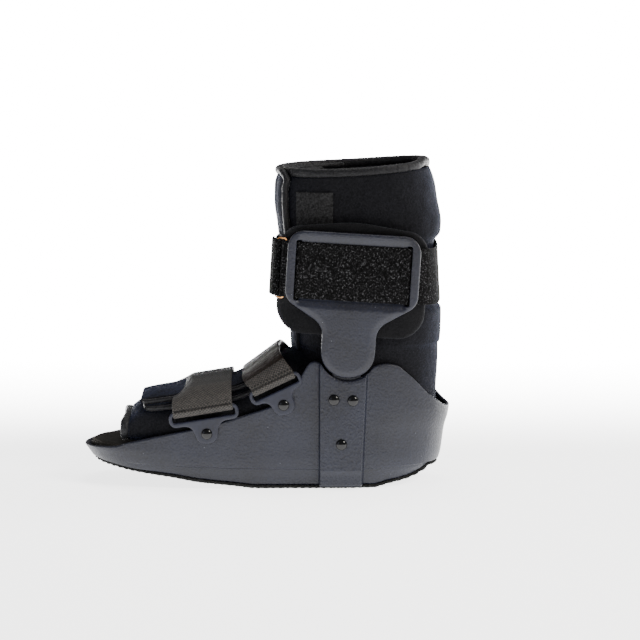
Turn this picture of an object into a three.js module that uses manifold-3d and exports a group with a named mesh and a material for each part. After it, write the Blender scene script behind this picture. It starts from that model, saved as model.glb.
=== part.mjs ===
// Short medical walking boot, empty, with its straps fastened. Millimetres, +Z up, toe towards -X.
// The wearer's left side is -Y. The origin is on the ground at mid-length, on the flat of the rocker sole.
import * as THREE from 'three';
import { mergeVertices } from 'three/addons/utils/BufferGeometryUtils.js';
import Module from 'manifold-3d';

const wasm = await Module();
wasm.setup();

// Overall sizes
const LENGTH = 308;              // toe rim to heel rim
const HALF_WIDTH = 56;           // shell, at its widest, to the outside of the wall
const SHELL_HEIGHT = 108;        // peak of the rim, in front of the upright
const LEG_HEIGHT = 258.5;        // cut top of the soft boot at the shin
const GAP = 0.3;                 // air between pieces that touch
const HALF_LENGTH = LENGTH / 2;
const RAD = Math.PI / 180;

// Shell
const WALL = 3;                  // moulded plastic
const RUBBER = 3;                // outsole sheet
const FLOOR_TOE = 26.5;          // top of the shell's floor at the toe
const FLOOR_HEEL = 20;
const INSOLE_TOE = 9;            // foam thickness at the toe
const INSOLE_HEEL = 7.5;
const LEDGE = 16.8;              // height of the step above the sole band
const LEDGE_RISE = 3.7;          // how much higher the step is at the toe

// Upright: a plate with two slots, as wide as the leg, seated in a channel on the shell's side
const STEM_X = 0.4338 * HALF_LENGTH;   // bottom of the stem
const STEM_Z = 94.2;
const UPRIGHT_TILT = 3.5;        // degrees, top towards the heel
const UPRIGHT_LEAN = 0.05;       // outward per unit of height
const PLATE = 6;
const SLOT_MIDDLE = 0.7048 * LEG_HEIGHT - STEM_Z;   // above the stem's bottom, as all heights of the plate
const SLOT_HEIGHT = 50;
const SLOT_WIDTH = 4.5;
const HEAD_HALF = 0.3558 * HALF_LENGTH;
const SLOT_AT = HEAD_HALF - 9.2; // slot centre from the plate's middle
const HEAD_TOP = SLOT_MIDDLE + 33;
const HEAD_CORNER = 14;
const SHOULDER = SLOT_MIDDLE - 24.5;
const SHOULDER_RADIUS = 12;
const NECK = SLOT_MIDDLE - 45;
const NECK_RADIUS = 14;
const STEM_HALF = 22.3;
const NOTCH_GAP = 2.2;           // between the stem's end and the notch in the rim
const POST = 3;                  // thickness of the plate outside the slots
const PANEL = 2.5;               // thickness of the plate between the slots
const TONGUE = 3;
const TONGUE_HALF = 12;
const TONGUE_DOWN = 63;
const TONGUE_UP = 26;

// Channel that the tongue of the upright goes down behind
const CHANNEL_FACE = HALF_WIDTH + 2.5;
const CHANNEL_WALL = 3.5;
const CHANNEL_FRONT = STEM_X - 22.6;
const CHANNEL_BACK_TOP = STEM_X + 17;
const CHANNEL_BACK_SOLE = STEM_X + 12.9;
const RECESS_MARGIN = 3.8;       // channel's front to the front of the recess for the tongue
const RECESS_BACK_MARGIN = 0.8;
const RECESS_FLOOR = STEM_Z - TONGUE_DOWN - 1.2;
const PLATE_OUT = CHANNEL_FACE + UPRIGHT_LEAN * SLOT_MIDDLE;   // outer face of the head at slot height

// Rivets
const RIVET_HEAD = 4.6;          // radius
const RIVET_DOME = 2.6;
const RIVET_SHANK = 1.9;
const RIVET_HOLE = 2.25;
const RIVET_TAIL = 3;
const RIVET_TAIL_THICK = 1;
const UPRIGHT_RIVETS = [
  { x: STEM_X - 10.2, z: STEM_Z - 18 },
  { x: STEM_X + 5.5, z: STEM_Z - 18.7 },
  { x: STEM_X - 4, z: STEM_Z - 55.5 },
];

// Strap rings, each a plate with a slot, riveted to the shell through its ear
const RING_PLATE = 2.6;
const EAR = 8.2;                 // radius
const RING_SLOT = 6;
const RING_SLOT_UP = 15.7;       // slot centre above the rivet
const RING_BAR = 3.5;            // bar that the webbing folds round
const RING_FOOT_BAR = 4;
const RING_SIDE = 3;
const RING_CORNER = 6;
const NECK_FLARE = 2.3;
const WEB_PLAY = 1.2;            // slot length beyond the webbing, at each end
const SLOT_CORNER = 0.6 * WEB_PLAY;

// Foot straps: the rivet's place, tilt in degrees, width of the webbing, and the height above the rivet
// at which it crosses the foot, with the rise of that from its front edge to its back one
const FOREFOOT = {
  x: -0.3162 * HALF_LENGTH, z: 0.4417 * SHELL_HEIGHT, tilt: 9.2, web: 50, top: 0.4315 * SHELL_HEIGHT, rise: 0,
};
const INSTEP = {
  x: 0.0974 * HALF_LENGTH, z: 0.662 * SHELL_HEIGHT, tilt: 25.4, web: 38, top: 0.3935 * SHELL_HEIGHT, rise: 0.24,
};

// Webbing and the calf strap, in the upright's frame
const WEB = 2.2;
const CALF_WEB = 47;
const CALF_BACK = HEAD_HALF + 15.4;    // inside of the strap behind the calf, from the upright's middle
const CALF_BACK_TAPER = -0.115;  // change of that per unit of height
const CALF_FRONT = -HEAD_HALF - 9.1;   // inside of the strap before the shin
const CALF_TAIL = 24;            // where the strap's free end stops, past the middle of the shin
const STRAP_EASE = 3;            // straight stretch of the strap beyond a post
const STRAP_FLOAT = 0.15;        // more air between the strap and the panel that it crosses
const WIRE = 1.5;
const WIRE_HEIGHT = 51;
const WIRE_REAR = { u: -HEAD_HALF - 1.4, y: 8.7 - PLATE_OUT };
const WIRE_FRONT = { u: CALF_FRONT + 1, y: 14.1 - PLATE_OUT };

// Soft boot
const FOAM = 5;
const FLAP = 3.5;                // overlapping flaps
const BINDING = 6;               // sewn edge binding, across
const LEG_TOP_RISE = 7;          // the top edge is higher at the calf
const LINER_TOE = -0.747;        // share of HALF_LENGTH
const TOE_EDGE_BACK = 12;        // how far the open toe's edge leans back at its top
const TOE_EDGE = 25;             // length of the toe over which that dies out
const FOOT_ROUND = 2.7;          // exponent of the foot's cross-section
const PATCH = 1;
const PATCH_FRONT = 0.169 * HALF_LENGTH;
const PATCH_BACK = 0.362 * HALF_LENGTH;
const PATCH_LOW = 0.8665;        // shares of LEG_HEIGHT
const PATCH_TOP = 0.954;

// Pads behind the uprights
const PAD = 5.2;
const PAD_HALF = HEAD_HALF + 6.7;
const PAD_LOW = SLOT_MIDDLE - 53.5;
const PAD_SIDE_TOP = SLOT_MIDDLE + 30;
const PAD_TOP = SLOT_MIDDLE + 40;
const PAD_CORNER = 22;
const PAD_TOP_RADIUS = 120;
const PAD_BEND_FRONT = 15;       // how far its front edge turns in
const PAD_BEND_BACK = 7;
const PAD_FLAT = 38;

// Overlaps of the soft boot, by bearing round the leg or the foot
const FLAP_FROM = 118;
const FLAP_TO = 207;
const FLAP_LOW = 0.44;           // share of LEG_HEIGHT
const FLAP_BINDING = 2.3;        // radius
const FOOT_FLAPS = [
  { name: 'foot_flap_under', from: -0.655, to: 0.03, near: -52, far: 66, lift: GAP },
  { name: 'foot_flap_over', from: -0.675, to: -0.02, near: -38, far: 60, lift: FLAP + 2 * GAP },
];

const finish = (color, roughness, metalness = 0) =>
  new THREE.MeshStandardMaterial({ color, roughness, metalness });
const MATERIALS = {
  plastic: finish(0x3c3d46, 0.55),
  ringPlastic: finish(0x444650, 0.5),
  blackRivet: finish(0x0c0c0e, 0.15),
  cloth: finish(0x15161a, 0.85),
  binding: finish(0x2b2b2f, 0.6),
  webbing: finish(0x3a3836, 0.8),
  loopPile: finish(0x101011, 0.95),
  hookTape: finish(0x202022, 0.9),
  foam: finish(0x1b1b1e, 0.9),
  insole: finish(0x2d2c2a, 0.9),
  rubber: finish(0x151515, 0.9),
  wire: finish(0xe0a060, 0.3, 1),
};

// Plan of the shell: along is 0 at the toe and 1 at the heel, wide is a share of HALF_WIDTH.
const PLAN = [
  { along: 0.000, wide: 0.00 },
  { along: 0.012, wide: 0.30 },
  { along: 0.040, wide: 0.55 },
  { along: 0.100, wide: 0.79 },
  { along: 0.180, wide: 0.93 },
  { along: 0.280, wide: 0.99 },
  { along: 0.380, wide: 0.99 },
  { along: 0.500, wide: 0.96 },
  { along: 0.620, wide: 0.960 },
  { along: 0.720, wide: 0.962 },
  { along: 0.810, wide: 0.92 },
  { along: 0.890, wide: 0.80 },
  { along: 0.950, wide: 0.61 },
  { along: 0.986, wide: 0.34 },
  { along: 1.000, wide: 0.00 },
];

// Shell by height: up is a share of SHELL_HEIGHT, toe and heel are insets as shares of LENGTH,
// wide is a share of the plan's width, and step says how much of the ledge's rise the level follows.
const SHELL_LEVELS = [
  { up: -0.037, toe: 0.110, heel: 0.094, wide: 0.930, step: 0 },
  { up: 0.100, toe: 0.075, heel: 0.054, wide: 0.940, step: 0 },
  { up: LEDGE / SHELL_HEIGHT - 0.004, toe: 0.046, heel: 0.037, wide: 0.945, step: 1 },
  { up: LEDGE / SHELL_HEIGHT + 0.004, toe: 0.036, heel: 0.029, wide: 0.970, step: 1 },
  { up: 0.250, toe: 0.012, heel: 0.023, wide: 0.975, step: 0 },
  { up: 0.310, toe: 0.000, heel: 0.020, wide: 0.977, step: 0 },
  { up: 0.430, toe: 0.000, heel: 0.014, wide: 0.982, step: 0 },
  { up: 0.530, toe: 0.000, heel: 0.004, wide: 0.988, step: 0 },
  { up: 0.620, toe: 0.000, heel: 0.000, wide: 0.992, step: 0 },
  { up: 1.050, toe: 0.000, heel: 0.000, wide: 1.000, step: 0 },
];

// Rim seen from the side: along is a share of HALF_LENGTH, up a share of SHELL_HEIGHT.
const RIM = [
  { along: -1.030, up: 0.292 },
  { along: -0.887, up: 0.314 },
  { along: -0.819, up: 0.324 },
  { along: -0.745, up: 0.359 },
  { along: -0.505, up: 0.438 },
  { along: -0.160, up: 0.556 },
  { along: -0.079, up: 0.596 },
  { along: 0.023, up: 0.646 },
  { along: 0.105, up: 0.712 },
  { along: 0.186, up: 0.859 },
  { along: 0.232, up: 0.973 },
  { along: 0.255, up: 1.000 },
  { along: 0.278, up: 0.992 },
  { along: 0.290, up: 0.960 },
  { along: 0.544, up: 0.912 },
  { along: 0.578, up: 0.953 },
  { along: 0.636, up: 0.976 },
  { along: 0.701, up: 0.964 },
  { along: 0.759, up: 0.903 },
  { along: 0.824, up: 0.819 },
  { along: 0.877, up: 0.723 },
  { along: 0.929, up: 0.681 },
  { along: 1.030, up: 0.590 },
];

// Underside of the rocker sole: along is a share of HALF_LENGTH, up a share of SHELL_HEIGHT.
const ROCKER = [
  { along: -1.030, up: 0.192 },
  { along: -0.941, up: 0.172 },
  { along: -0.838, up: 0.150 },
  { along: -0.714, up: 0.119 },
  { along: -0.506, up: 0.082 },
  { along: -0.370, up: 0.050 },
  { along: -0.162, up: 0.019 },
  { along: -0.040, up: 0.000 },
  { along: 0.584, up: 0.000 },
  { along: 0.650, up: 0.020 },
  { along: 0.785, up: 0.058 },
  { along: 0.850, up: 0.097 },
  { along: 0.890, up: 0.135 },
  { along: 1.030, up: 0.160 },
];

// Leg of the soft boot by height: up is a share of LEG_HEIGHT, front and back are shares of HALF_LENGTH,
// wide is a share of HALF_WIDTH, round is the exponent of the outline, and edge says how much of the
// top edge's rise the level follows.
const LEG = [
  { up: 0.150, front: 0.300, back: 0.865, wide: 0.600, round: 2.2, edge: 0 },
  { up: 0.245, front: 0.240, back: 0.922, wide: 0.780, round: 2.3, edge: 0 },
  { up: 0.330, front: 0.190, back: 0.928, wide: 0.820, round: 2.3, edge: 0 },
  { up: 0.430, front: 0.157, back: 0.938, wide: 0.830, round: 2.4, edge: 0 },
  { up: 0.500, front: 0.155, back: 0.952, wide: 0.840, round: 2.7, edge: 0 },
  { up: 0.570, front: 0.137, back: 0.950, wide: 0.855, round: 2.9, edge: 0 },
  { up: 0.592, front: 0.127, back: 0.906, wide: 0.870, round: 3.0, edge: 0 },
  { up: 0.790, front: 0.098, back: 0.914, wide: 0.885, round: 3.0, edge: 0 },
  { up: 0.812, front: 0.092, back: 0.944, wide: 0.885, round: 3.0, edge: 0 },
  { up: 0.850, front: 0.084, back: 0.949, wide: 0.885, round: 2.9, edge: 0 },
  { up: 0.920, front: 0.071, back: 0.925, wide: 0.860, round: 2.7, edge: 0.2 },
  { up: 0.970, front: 0.074, back: 0.905, wide: 0.825, round: 2.6, edge: 0.6 },
  { up: 1.000, front: 0.088, back: 0.880, wide: 0.800, round: 2.6, edge: 1 },
];

// Foot of the soft boot by length: along is a share of HALF_LENGTH, low is the height above the insole
// and high the height above the ground, as shares of SHELL_HEIGHT, wide is a share of HALF_WIDTH.
// The first row is the open toe.
const FOOT = [
  { along: LINER_TOE, low: 0.022, high: 0.600, wide: 0.690 },
  { along: -0.680, low: 0.019, high: 0.640, wide: 0.765 },
  { along: -0.500, low: 0.014, high: 0.672, wide: 0.845 },
  { along: -0.370, low: 0.010, high: 0.722, wide: 0.866 },
  { along: -0.175, low: 0.010, high: 0.772, wide: 0.855 },
  { along: -0.030, low: 0.010, high: 0.862, wide: 0.845 },
  { along: 0.070, low: 0.010, high: 0.965, wide: 0.838 },
  { along: 0.200, low: 0.010, high: 1.020, wide: 0.832 },
  { along: 0.420, low: 0.010, high: 1.000, wide: 0.825 },
  { along: 0.680, low: 0.013, high: 0.820, wide: 0.755 },
  { along: 0.830, low: 0.031, high: 0.640, wide: 0.560 },
  { along: 0.895, low: 0.070, high: 0.500, wide: 0.300 },
];

// Webbing round a ring's bar and over the foot, from the bar to the middle: out is a share of the bar's
// distance from the middle, up a share of the height at the middle, thick a share of WEB.
const OVER_FOOT = [
  { out: 1.000, up: 0.530, thick: 2.6 },
  { out: 0.992, up: 0.620, thick: 1.9 },
  { out: 0.965, up: 0.730, thick: 1.8 },
  { out: 0.900, up: 0.830, thick: 1.6 },
  { out: 0.780, up: 0.915, thick: 1.2 },
  { out: 0.520, up: 0.980, thick: 1.7 },
  { out: 0.000, up: 1.000, thick: 1.7 },
];

// Solids

function toGeometry(positions, indices) {
  const geometry = new THREE.BufferGeometry();
  geometry.setAttribute('position', new THREE.Float32BufferAttribute(positions, 3));
  geometry.setIndex(indices);
  return geometry;
}

/** Turns every triangle round if the closed surface encloses a negative volume. */
function outward(geometry) {
  const point = geometry.attributes.position;
  const index = Array.from(geometry.index.array);
  const [a, b, c] = [new THREE.Vector3(), new THREE.Vector3(), new THREE.Vector3()];
  let volume = 0;
  for (let i = 0; i < index.length; i += 3) {
    a.fromBufferAttribute(point, index[i]);
    b.fromBufferAttribute(point, index[i + 1]);
    c.fromBufferAttribute(point, index[i + 2]);
    volume += a.dot(b.cross(c));
  }
  if (volume < 0) {
    for (let i = 0; i < index.length; i += 3) [index[i], index[i + 1]] = [index[i + 1], index[i]];
    geometry.setIndex(index);
  }
  return geometry;
}

/** Keeps positions only, with shared corners merged, so that the surface is closed. */
function closed(geometry) {
  geometry.deleteAttribute('normal');
  geometry.deleteAttribute('uv');
  return outward(mergeVertices(geometry, 1e-4));
}

function toSolid(geometry) {
  const merged = closed(geometry.clone());
  return new wasm.Manifold(new wasm.Mesh({
    numProp: 3,
    vertProperties: Float32Array.from(merged.attributes.position.array),
    triVerts: Uint32Array.from(merged.index.array),
  }));
}

function fromSolid(solid) {
  const mesh = solid.getMesh();
  return toGeometry(Array.from(mesh.vertProperties), Array.from(mesh.triVerts));
}

/** Moves every corner by a rule: place(point) changes the point. */
function reshape(geometry, place) {
  const position = geometry.attributes.position;
  const point = new THREE.Vector3();
  for (let i = 0; i < position.count; i += 1) {
    point.fromBufferAttribute(position, i);
    place(point);
    position.setXYZ(i, point.x, point.y, point.z);
  }
  return geometry;
}

const mirrored = (geometry) => outward(reshape(geometry.clone(), (p) => { p.y = -p.y; }));

/** Skin through closed rings of equal count, closed by a fan at each end, or end to end as a hoop. */
function loft(rings, hoop = false) {
  const count = rings[0].length;
  const positions = [];
  const indices = [];
  rings.forEach((ring) => ring.forEach((p) => positions.push(...p)));
  const last = hoop ? rings.length : rings.length - 1;
  for (let row = 0; row < last; row += 1) {
    for (let i = 0; i < count; i += 1) {
      const next = (i + 1) % count;
      const above = ((row + 1) % rings.length) * count;
      indices.push(row * count + i, row * count + next, above + next);
      indices.push(row * count + i, above + next, above + i);
    }
  }
  if (!hoop) {
    [0, rings.length - 1].forEach((row) => {
      const middle = [0, 1, 2].map((k) => rings[row].reduce((sum, p) => sum + p[k], 0) / count);
      const hub = positions.length / 3;
      positions.push(...middle);
      for (let i = 0; i < count; i += 1) {
        const pair = [row * count + i, row * count + ((i + 1) % count)];
        if (row === 0) pair.reverse();
        indices.push(...pair, hub);
      }
    });
  }
  return outward(toGeometry(positions, indices));
}

/** Curved slab over listed columns and rows: place(column, row, side) is on the inner or outer face. */
function slab(columns, rows, place) {
  const positions = [];
  const indices = [];
  const [last, top] = [columns.length - 1, rows.length - 1];
  const at = (i, j, side) => (side * rows.length + j) * columns.length + i;
  [0, 1].forEach((side) => {
    rows.forEach((row) => columns.forEach((column) => positions.push(...place(column, row, side))));
  });
  const quad = (a, b, c, d) => indices.push(a, b, c, a, c, d);
  for (let j = 0; j < top; j += 1) {
    for (let i = 0; i < last; i += 1) {
      quad(at(i, j, 1), at(i + 1, j, 1), at(i + 1, j + 1, 1), at(i, j + 1, 1));
      quad(at(i, j, 0), at(i, j + 1, 0), at(i + 1, j + 1, 0), at(i + 1, j, 0));
    }
    quad(at(0, j, 0), at(0, j, 1), at(0, j + 1, 1), at(0, j + 1, 0));
    quad(at(last, j, 0), at(last, j + 1, 0), at(last, j + 1, 1), at(last, j, 1));
  }
  for (let i = 0; i < last; i += 1) {
    quad(at(i, 0, 0), at(i + 1, 0, 0), at(i + 1, 0, 1), at(i, 0, 1));
    quad(at(i, top, 0), at(i, top, 1), at(i + 1, top, 1), at(i + 1, top, 0));
  }
  return outward(toGeometry(positions, indices));
}

/** The two ends of a stretch, with those of the values that lie between them. */
function stretch(values, from, to) {
  const margin = (to - from) * 0.02;
  return [from, ...values.filter((v) => v > from + margin && v < to - margin), to];
}

/** Polygon whose corners { x, y, r } are rounded to radius r. */
function rounded(corners, segments = 4) {
  const points = [];
  corners.forEach((corner, i) => {
    const here = new THREE.Vector2(corner.x, corner.y);
    if (!corner.r) {
      points.push(here);
      return;
    }
    const before = corners[(i + corners.length - 1) % corners.length];
    const after = corners[(i + 1) % corners.length];
    const back = new THREE.Vector2(before.x, before.y).sub(here);
    const on = new THREE.Vector2(after.x, after.y).sub(here);
    const half = Math.acos(back.clone().normalize().dot(on.clone().normalize())) / 2;
    const reach = Math.min(corner.r / Math.tan(half), back.length() * 0.499, on.length() * 0.499);
    const start = back.setLength(reach).add(here);
    const end = on.setLength(reach).add(here);
    const curve = new THREE.QuadraticBezierCurve(start, here, end);
    const radius = reach * Math.tan(half);
    const toCentre = start.clone().add(end).multiplyScalar(0.5).sub(here).setLength(radius / Math.sin(half));
    const centre = here.clone().add(toCentre);
    curve.getPoints(segments).forEach((p) => {
      const spoke = p.sub(centre).setLength(radius);
      points.push(centre.clone().add(spoke));
    });
  });
  return points;
}

/** Outline in x and z, made solid from y0 to y1. */
function fromSide(points, y0, y1, holes = []) {
  const shape = new THREE.Shape(points);
  holes.forEach((hole) => shape.holes.push(new THREE.Path(hole)));
  const geometry = new THREE.ExtrudeGeometry(shape, { depth: y1 - y0, bevelEnabled: false });
  return geometry.rotateX(Math.PI / 2).translate(0, y1, 0);
}

function cylinderAcross(x, z, radius, y0, y1, segments = 10) {
  const geometry = new THREE.CylinderGeometry(radius, radius, y1 - y0, segments);
  return geometry.translate(x, (y0 + y1) / 2, z);
}

/** Round bar along a path of points. */
function bar(points, radius, sides = 6, steps = points.length * 2, loop = false) {
  const path = new THREE.CatmullRomCurve3(points, loop, 'centripetal');
  const shape = new THREE.Shape(
    Array.from({ length: sides }, (_, i) => {
      const turn = (i / sides) * 2 * Math.PI;
      return new THREE.Vector2(Math.cos(turn) * radius, Math.sin(turn) * radius);
    }),
  );
  return closed(new THREE.ExtrudeGeometry(shape, { steps, extrudePath: path, bevelEnabled: false }));
}

/** Outline of a band along a path of { x, y, thick }, mitred at its corners. */
function bandOutline(route) {
  const left = [];
  const right = [];
  route.forEach((stop, i) => {
    const before = route[Math.max(i - 1, 0)];
    const after = route[Math.min(i + 1, route.length - 1)];
    const into = new THREE.Vector2(stop.x - before.x, stop.y - before.y);
    const out = new THREE.Vector2(after.x - stop.x, after.y - stop.y);
    if (i === 0) into.copy(out);
    if (i === route.length - 1) out.copy(into);
    const along = into.normalize().add(out.normalize()).normalize();
    const mitre = Math.max(along.dot(out), 0.75);
    const side = new THREE.Vector2(-along.y, along.x).multiplyScalar(stop.thick / 2 / mitre);
    const here = new THREE.Vector2(stop.x, stop.y);
    left.push(here.clone().add(side));
    right.push(here.clone().sub(side));
  });
  return left.concat(right.reverse());
}

/** Reads a table at x by straight lines between its rows. */
function read(table, key, x, column) {
  const row = table.findIndex((entry) => entry[key] > x);
  if (row === 0) return table[0][column];
  if (row < 0) return table[table.length - 1][column];
  const [a, b] = [table[row - 1], table[row]];
  return a[column] + ((x - a[key]) / (b[key] - a[key])) * (b[column] - a[column]);
}

const between = (a, b, t) => a + (b - a) * t;

const superPower = (value, exponent) => Math.sign(value) * Math.abs(value) ** (2 / exponent);

// Shell, outsole and insole

const PLAN_POINTS = 40;
const planCurve = new THREE.CatmullRomCurve3(
  PLAN.concat(PLAN.slice(1, -1).reverse().map((row) => ({ along: row.along, wide: -row.wide })))
    .map((row) => new THREE.Vector3(row.along * LENGTH, row.wide * HALF_WIDTH, 0)),
  true,
  'centripetal',
);
const PLAN_RING = planCurve.getSpacedPoints(PLAN_POINTS).slice(0, PLAN_POINTS);

/** Plan ring of the shell at a level, drawn in by inset all round. */
function shellRing(level, inset) {
  const toe = -HALF_LENGTH + level.toe * LENGTH + inset;
  const heel = HALF_LENGTH - level.heel * LENGTH - inset;
  const wide = level.wide * (HALF_WIDTH - inset / 0.96) / HALF_WIDTH;
  return PLAN_RING.map((p) => {
    const x = toe + (p.x / LENGTH) * (heel - toe);
    const rise = level.step * LEDGE_RISE * ((x - CHANNEL_FRONT) / (HALF_LENGTH * 0.93)) ** 2;
    return [x, p.y * wide, level.up * SHELL_HEIGHT + rise];
  });
}

const shellBody = (inset) => loft(SHELL_LEVELS.map((level) => shellRing(level, inset)));

/** Half width of the shell's outside at x, read from the plan at a level. */
function shellHalfWidth(x, level) {
  const ring = shellRing(level, 0).filter((p) => p[1] >= 0).sort((a, b) => a[0] - b[0]);
  return read(ring.map(([along, wide]) => ({ along, wide })), 'along', x, 'wide');
}

const rimPoints = RIM.map((p) => new THREE.Vector2(p.along * HALF_LENGTH, p.up * SHELL_HEIGHT));
const rockerPoints = (lift) =>
  ROCKER.map((p) => new THREE.Vector2(p.along * HALF_LENGTH, p.up * SHELL_HEIGHT + lift));
const REACH = HALF_LENGTH * 1.03;
const ACROSS = HALF_WIDTH * 1.3;

// Floor of the shell: along is a share of HALF_LENGTH, toe says how much of the toe's height it has.
const FLOOR = [
  { along: -1.03, toe: 1, drop: 3 },
  { along: -0.93, toe: 1, drop: 0 },
  { along: -0.13, toe: 0, drop: 0 },
  { along: 1.03, toe: 0, drop: 0 },
];
const floorPoints = (lift, toeLift = lift) => FLOOR.map(({ along, toe, drop }) => (
  new THREE.Vector2(along * HALF_LENGTH, between(FLOOR_HEEL + lift, FLOOR_TOE + toeLift, toe) - drop)));

/** Height of the insole's top at length share along. */
const insoleTop = (along) =>
  between(FLOOR_HEEL + INSOLE_HEEL, FLOOR_TOE + INSOLE_TOE, read(FLOOR, 'along', along, 'toe'));

const INWARD = HALF_WIDTH * 0.8;   // inside the wall, where the channel's solids start

function channelSolid() {
  const top = SHELL_HEIGHT * 1.05;
  const outline = [
    new THREE.Vector2(CHANNEL_FRONT, -RUBBER),
    new THREE.Vector2(CHANNEL_BACK_SOLE, -RUBBER),
    new THREE.Vector2(CHANNEL_BACK_TOP, top),
    new THREE.Vector2(CHANNEL_FRONT, top),
  ];
  return fromSide(outline, INWARD, CHANNEL_FACE);
}

function recessSolid() {
  const top = SHELL_HEIGHT * 1.1;
  const outline = [
    new THREE.Vector2(CHANNEL_FRONT + RECESS_MARGIN, RECESS_FLOOR),
    new THREE.Vector2(CHANNEL_BACK_SOLE - RECESS_BACK_MARGIN, RECESS_FLOOR),
    new THREE.Vector2(CHANNEL_BACK_TOP - RECESS_BACK_MARGIN, top),
    new THREE.Vector2(CHANNEL_FRONT + RECESS_MARGIN, top),
  ];
  return fromSide(outline, INWARD, CHANNEL_FACE - CHANNEL_WALL);
}

function shell() {
  const profile = rimPoints.concat(rockerPoints(RUBBER + GAP).reverse());
  const cavityProfile = floorPoints(0).concat([
    new THREE.Vector2(REACH, SHELL_HEIGHT * 1.1),
    new THREE.Vector2(-REACH, SHELL_HEIGHT * 1.1),
  ]);
  const cavity = toSolid(shellBody(WALL)).intersect(toSolid(fromSide(cavityProfile, -ACROSS, ACROSS)));
  let solid = toSolid(shellBody(0))
    .add(toSolid(channelSolid()))
    .add(toSolid(mirrored(closed(channelSolid()))))
    .intersect(toSolid(fromSide(profile, -ACROSS, ACROSS)))
    .subtract(cavity)
    .subtract(toSolid(recessSolid()))
    .subtract(toSolid(mirrored(closed(recessSolid()))));
  const stemMiddle = new THREE.Vector2(
    STEM_X + STEM_HALF * Math.sin(UPRIGHT_TILT * RAD),
    STEM_Z + STEM_HALF * Math.cos(UPRIGHT_TILT * RAD),
  );
  const notch = STEM_HALF + NOTCH_GAP;
  solid = solid.subtract(toSolid(cylinderAcross(stemMiddle.x, stemMiddle.y, notch, -ACROSS, ACROSS, 28)));
  UPRIGHT_RIVETS.concat([FOREFOOT, INSTEP]).forEach(({ x, z }) => {
    solid = solid.subtract(toSolid(cylinderAcross(x, z, RIVET_HOLE, -ACROSS, ACROSS, 8)));
  });
  return fromSolid(solid);
}

function outsole() {
  const sheet = rockerPoints(0).concat(rockerPoints(RUBBER).reverse());
  return fromSolid(toSolid(shellBody(0)).intersect(toSolid(fromSide(sheet, -ACROSS, ACROSS))));
}

function insole() {
  const sheet = floorPoints(GAP).concat(floorPoints(INSOLE_HEEL, INSOLE_TOE).reverse());
  return fromSolid(toSolid(shellBody(WALL + 2 * GAP)).intersect(toSolid(fromSide(sheet, -ACROSS, ACROSS))));
}

// Upright, its rivets and its pad, in the plate's own frame: u forward to back, y across, v up

/** The plate leans out with height; y is measured from the middle of the boot. */
const leanOut = (p, share = 1) => {
  p.y += Math.sign(p.y) * share * UPRIGHT_LEAN * (p.z - SLOT_MIDDLE);
};

const box = (u0, u1, y0, y1, v0, v1) =>
  new THREE.BoxGeometry(u1 - u0, y1 - y0, v1 - v0).translate((u0 + u1) / 2, (y0 + y1) / 2, (v0 + v1) / 2);

function upright() {
  const side = [
    { x: STEM_HALF, y: 0, r: STEM_HALF * 0.99 },
    { x: STEM_HALF, y: NECK, r: NECK_RADIUS },
    { x: HEAD_HALF, y: SHOULDER, r: SHOULDER_RADIUS },
    { x: HEAD_HALF, y: HEAD_TOP, r: HEAD_CORNER },
  ];
  const outline = rounded(side.concat(side.slice().reverse().map((c) => ({ ...c, x: -c.x }))), 5);
  const outer = PLATE_OUT;
  const inner = PLATE_OUT - PLATE;
  const slotLow = SLOT_MIDDLE - SLOT_HEIGHT / 2;
  const slotTop = SLOT_MIDDLE + SLOT_HEIGHT / 2;
  const slotIn = SLOT_AT - SLOT_WIDTH / 2;
  const slotOut = SLOT_AT + SLOT_WIDTH / 2;
  let plate = toSolid(fromSide(outline, inner, outer));
  const cuts = [box(-slotIn, slotIn, inner + PANEL, outer + 1, slotLow, slotTop)];
  [-1, 1].forEach((end) => {
    const [near, far] = [end * slotIn, end * slotOut].sort((a, b) => a - b);
    cuts.push(box(near, far, inner - 1, outer + 1, slotLow, slotTop));
    const [from, to] = [end * slotOut, end * (HEAD_HALF + 5)].sort((a, b) => a - b);
    cuts.push(box(from, to, inner - 1, outer - POST, slotLow, slotTop));
  });
  cuts.forEach((cut) => { plate = plate.subtract(toSolid(cut)); });
  const leaning = reshape(fromSolid(plate), (p) => leanOut(p));
  const back = CHANNEL_FACE - CHANNEL_WALL - GAP;
  const tongue = toSolid(box(-TONGUE_HALF, TONGUE_HALF, back - TONGUE, back, -TONGUE_DOWN, TONGUE_UP));
  let solid = toSolid(leaning).add(tongue);
  UPRIGHT_RIVETS.forEach((rivet) => {
    const { u, v } = toPlate(rivet.x, rivet.z);
    solid = solid.subtract(toSolid(cylinderAcross(u, v, RIVET_HOLE, 0, ACROSS, 8)));
  });
  return fromSolid(solid);
}

/** Turns a place seen from the side into the upright's own frame. */
function toPlate(x, z) {
  const turn = UPRIGHT_TILT * RAD;
  const [dx, dz] = [x - STEM_X, z - STEM_Z];
  return { u: dx * Math.cos(turn) - dz * Math.sin(turn), v: dx * Math.sin(turn) + dz * Math.cos(turn) };
}

/** Domed rivet along +Y: the head sits on y = 0 and the shank runs inward to its tail. */
function rivet(grip) {
  const profile = [
    [0, RIVET_DOME],
    [RIVET_HEAD * 0.62, RIVET_DOME * 0.82],
    [RIVET_HEAD, 0],
    [RIVET_SHANK, 0],
    [RIVET_SHANK, -grip],
    [RIVET_TAIL, -grip],
    [RIVET_TAIL, -grip - RIVET_TAIL_THICK],
    [0, -grip - RIVET_TAIL_THICK],
  ];
  return closed(new THREE.LatheGeometry(profile.map(([r, y]) => new THREE.Vector2(r, y)), 8));
}

const padBend = (u) => {
  const past = Math.max(0, Math.abs(u) - PAD_FLAT) / (PAD_HALF - PAD_FLAT);
  return (u < 0 ? PAD_BEND_FRONT : PAD_BEND_BACK) * past ** 2;
};

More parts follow.
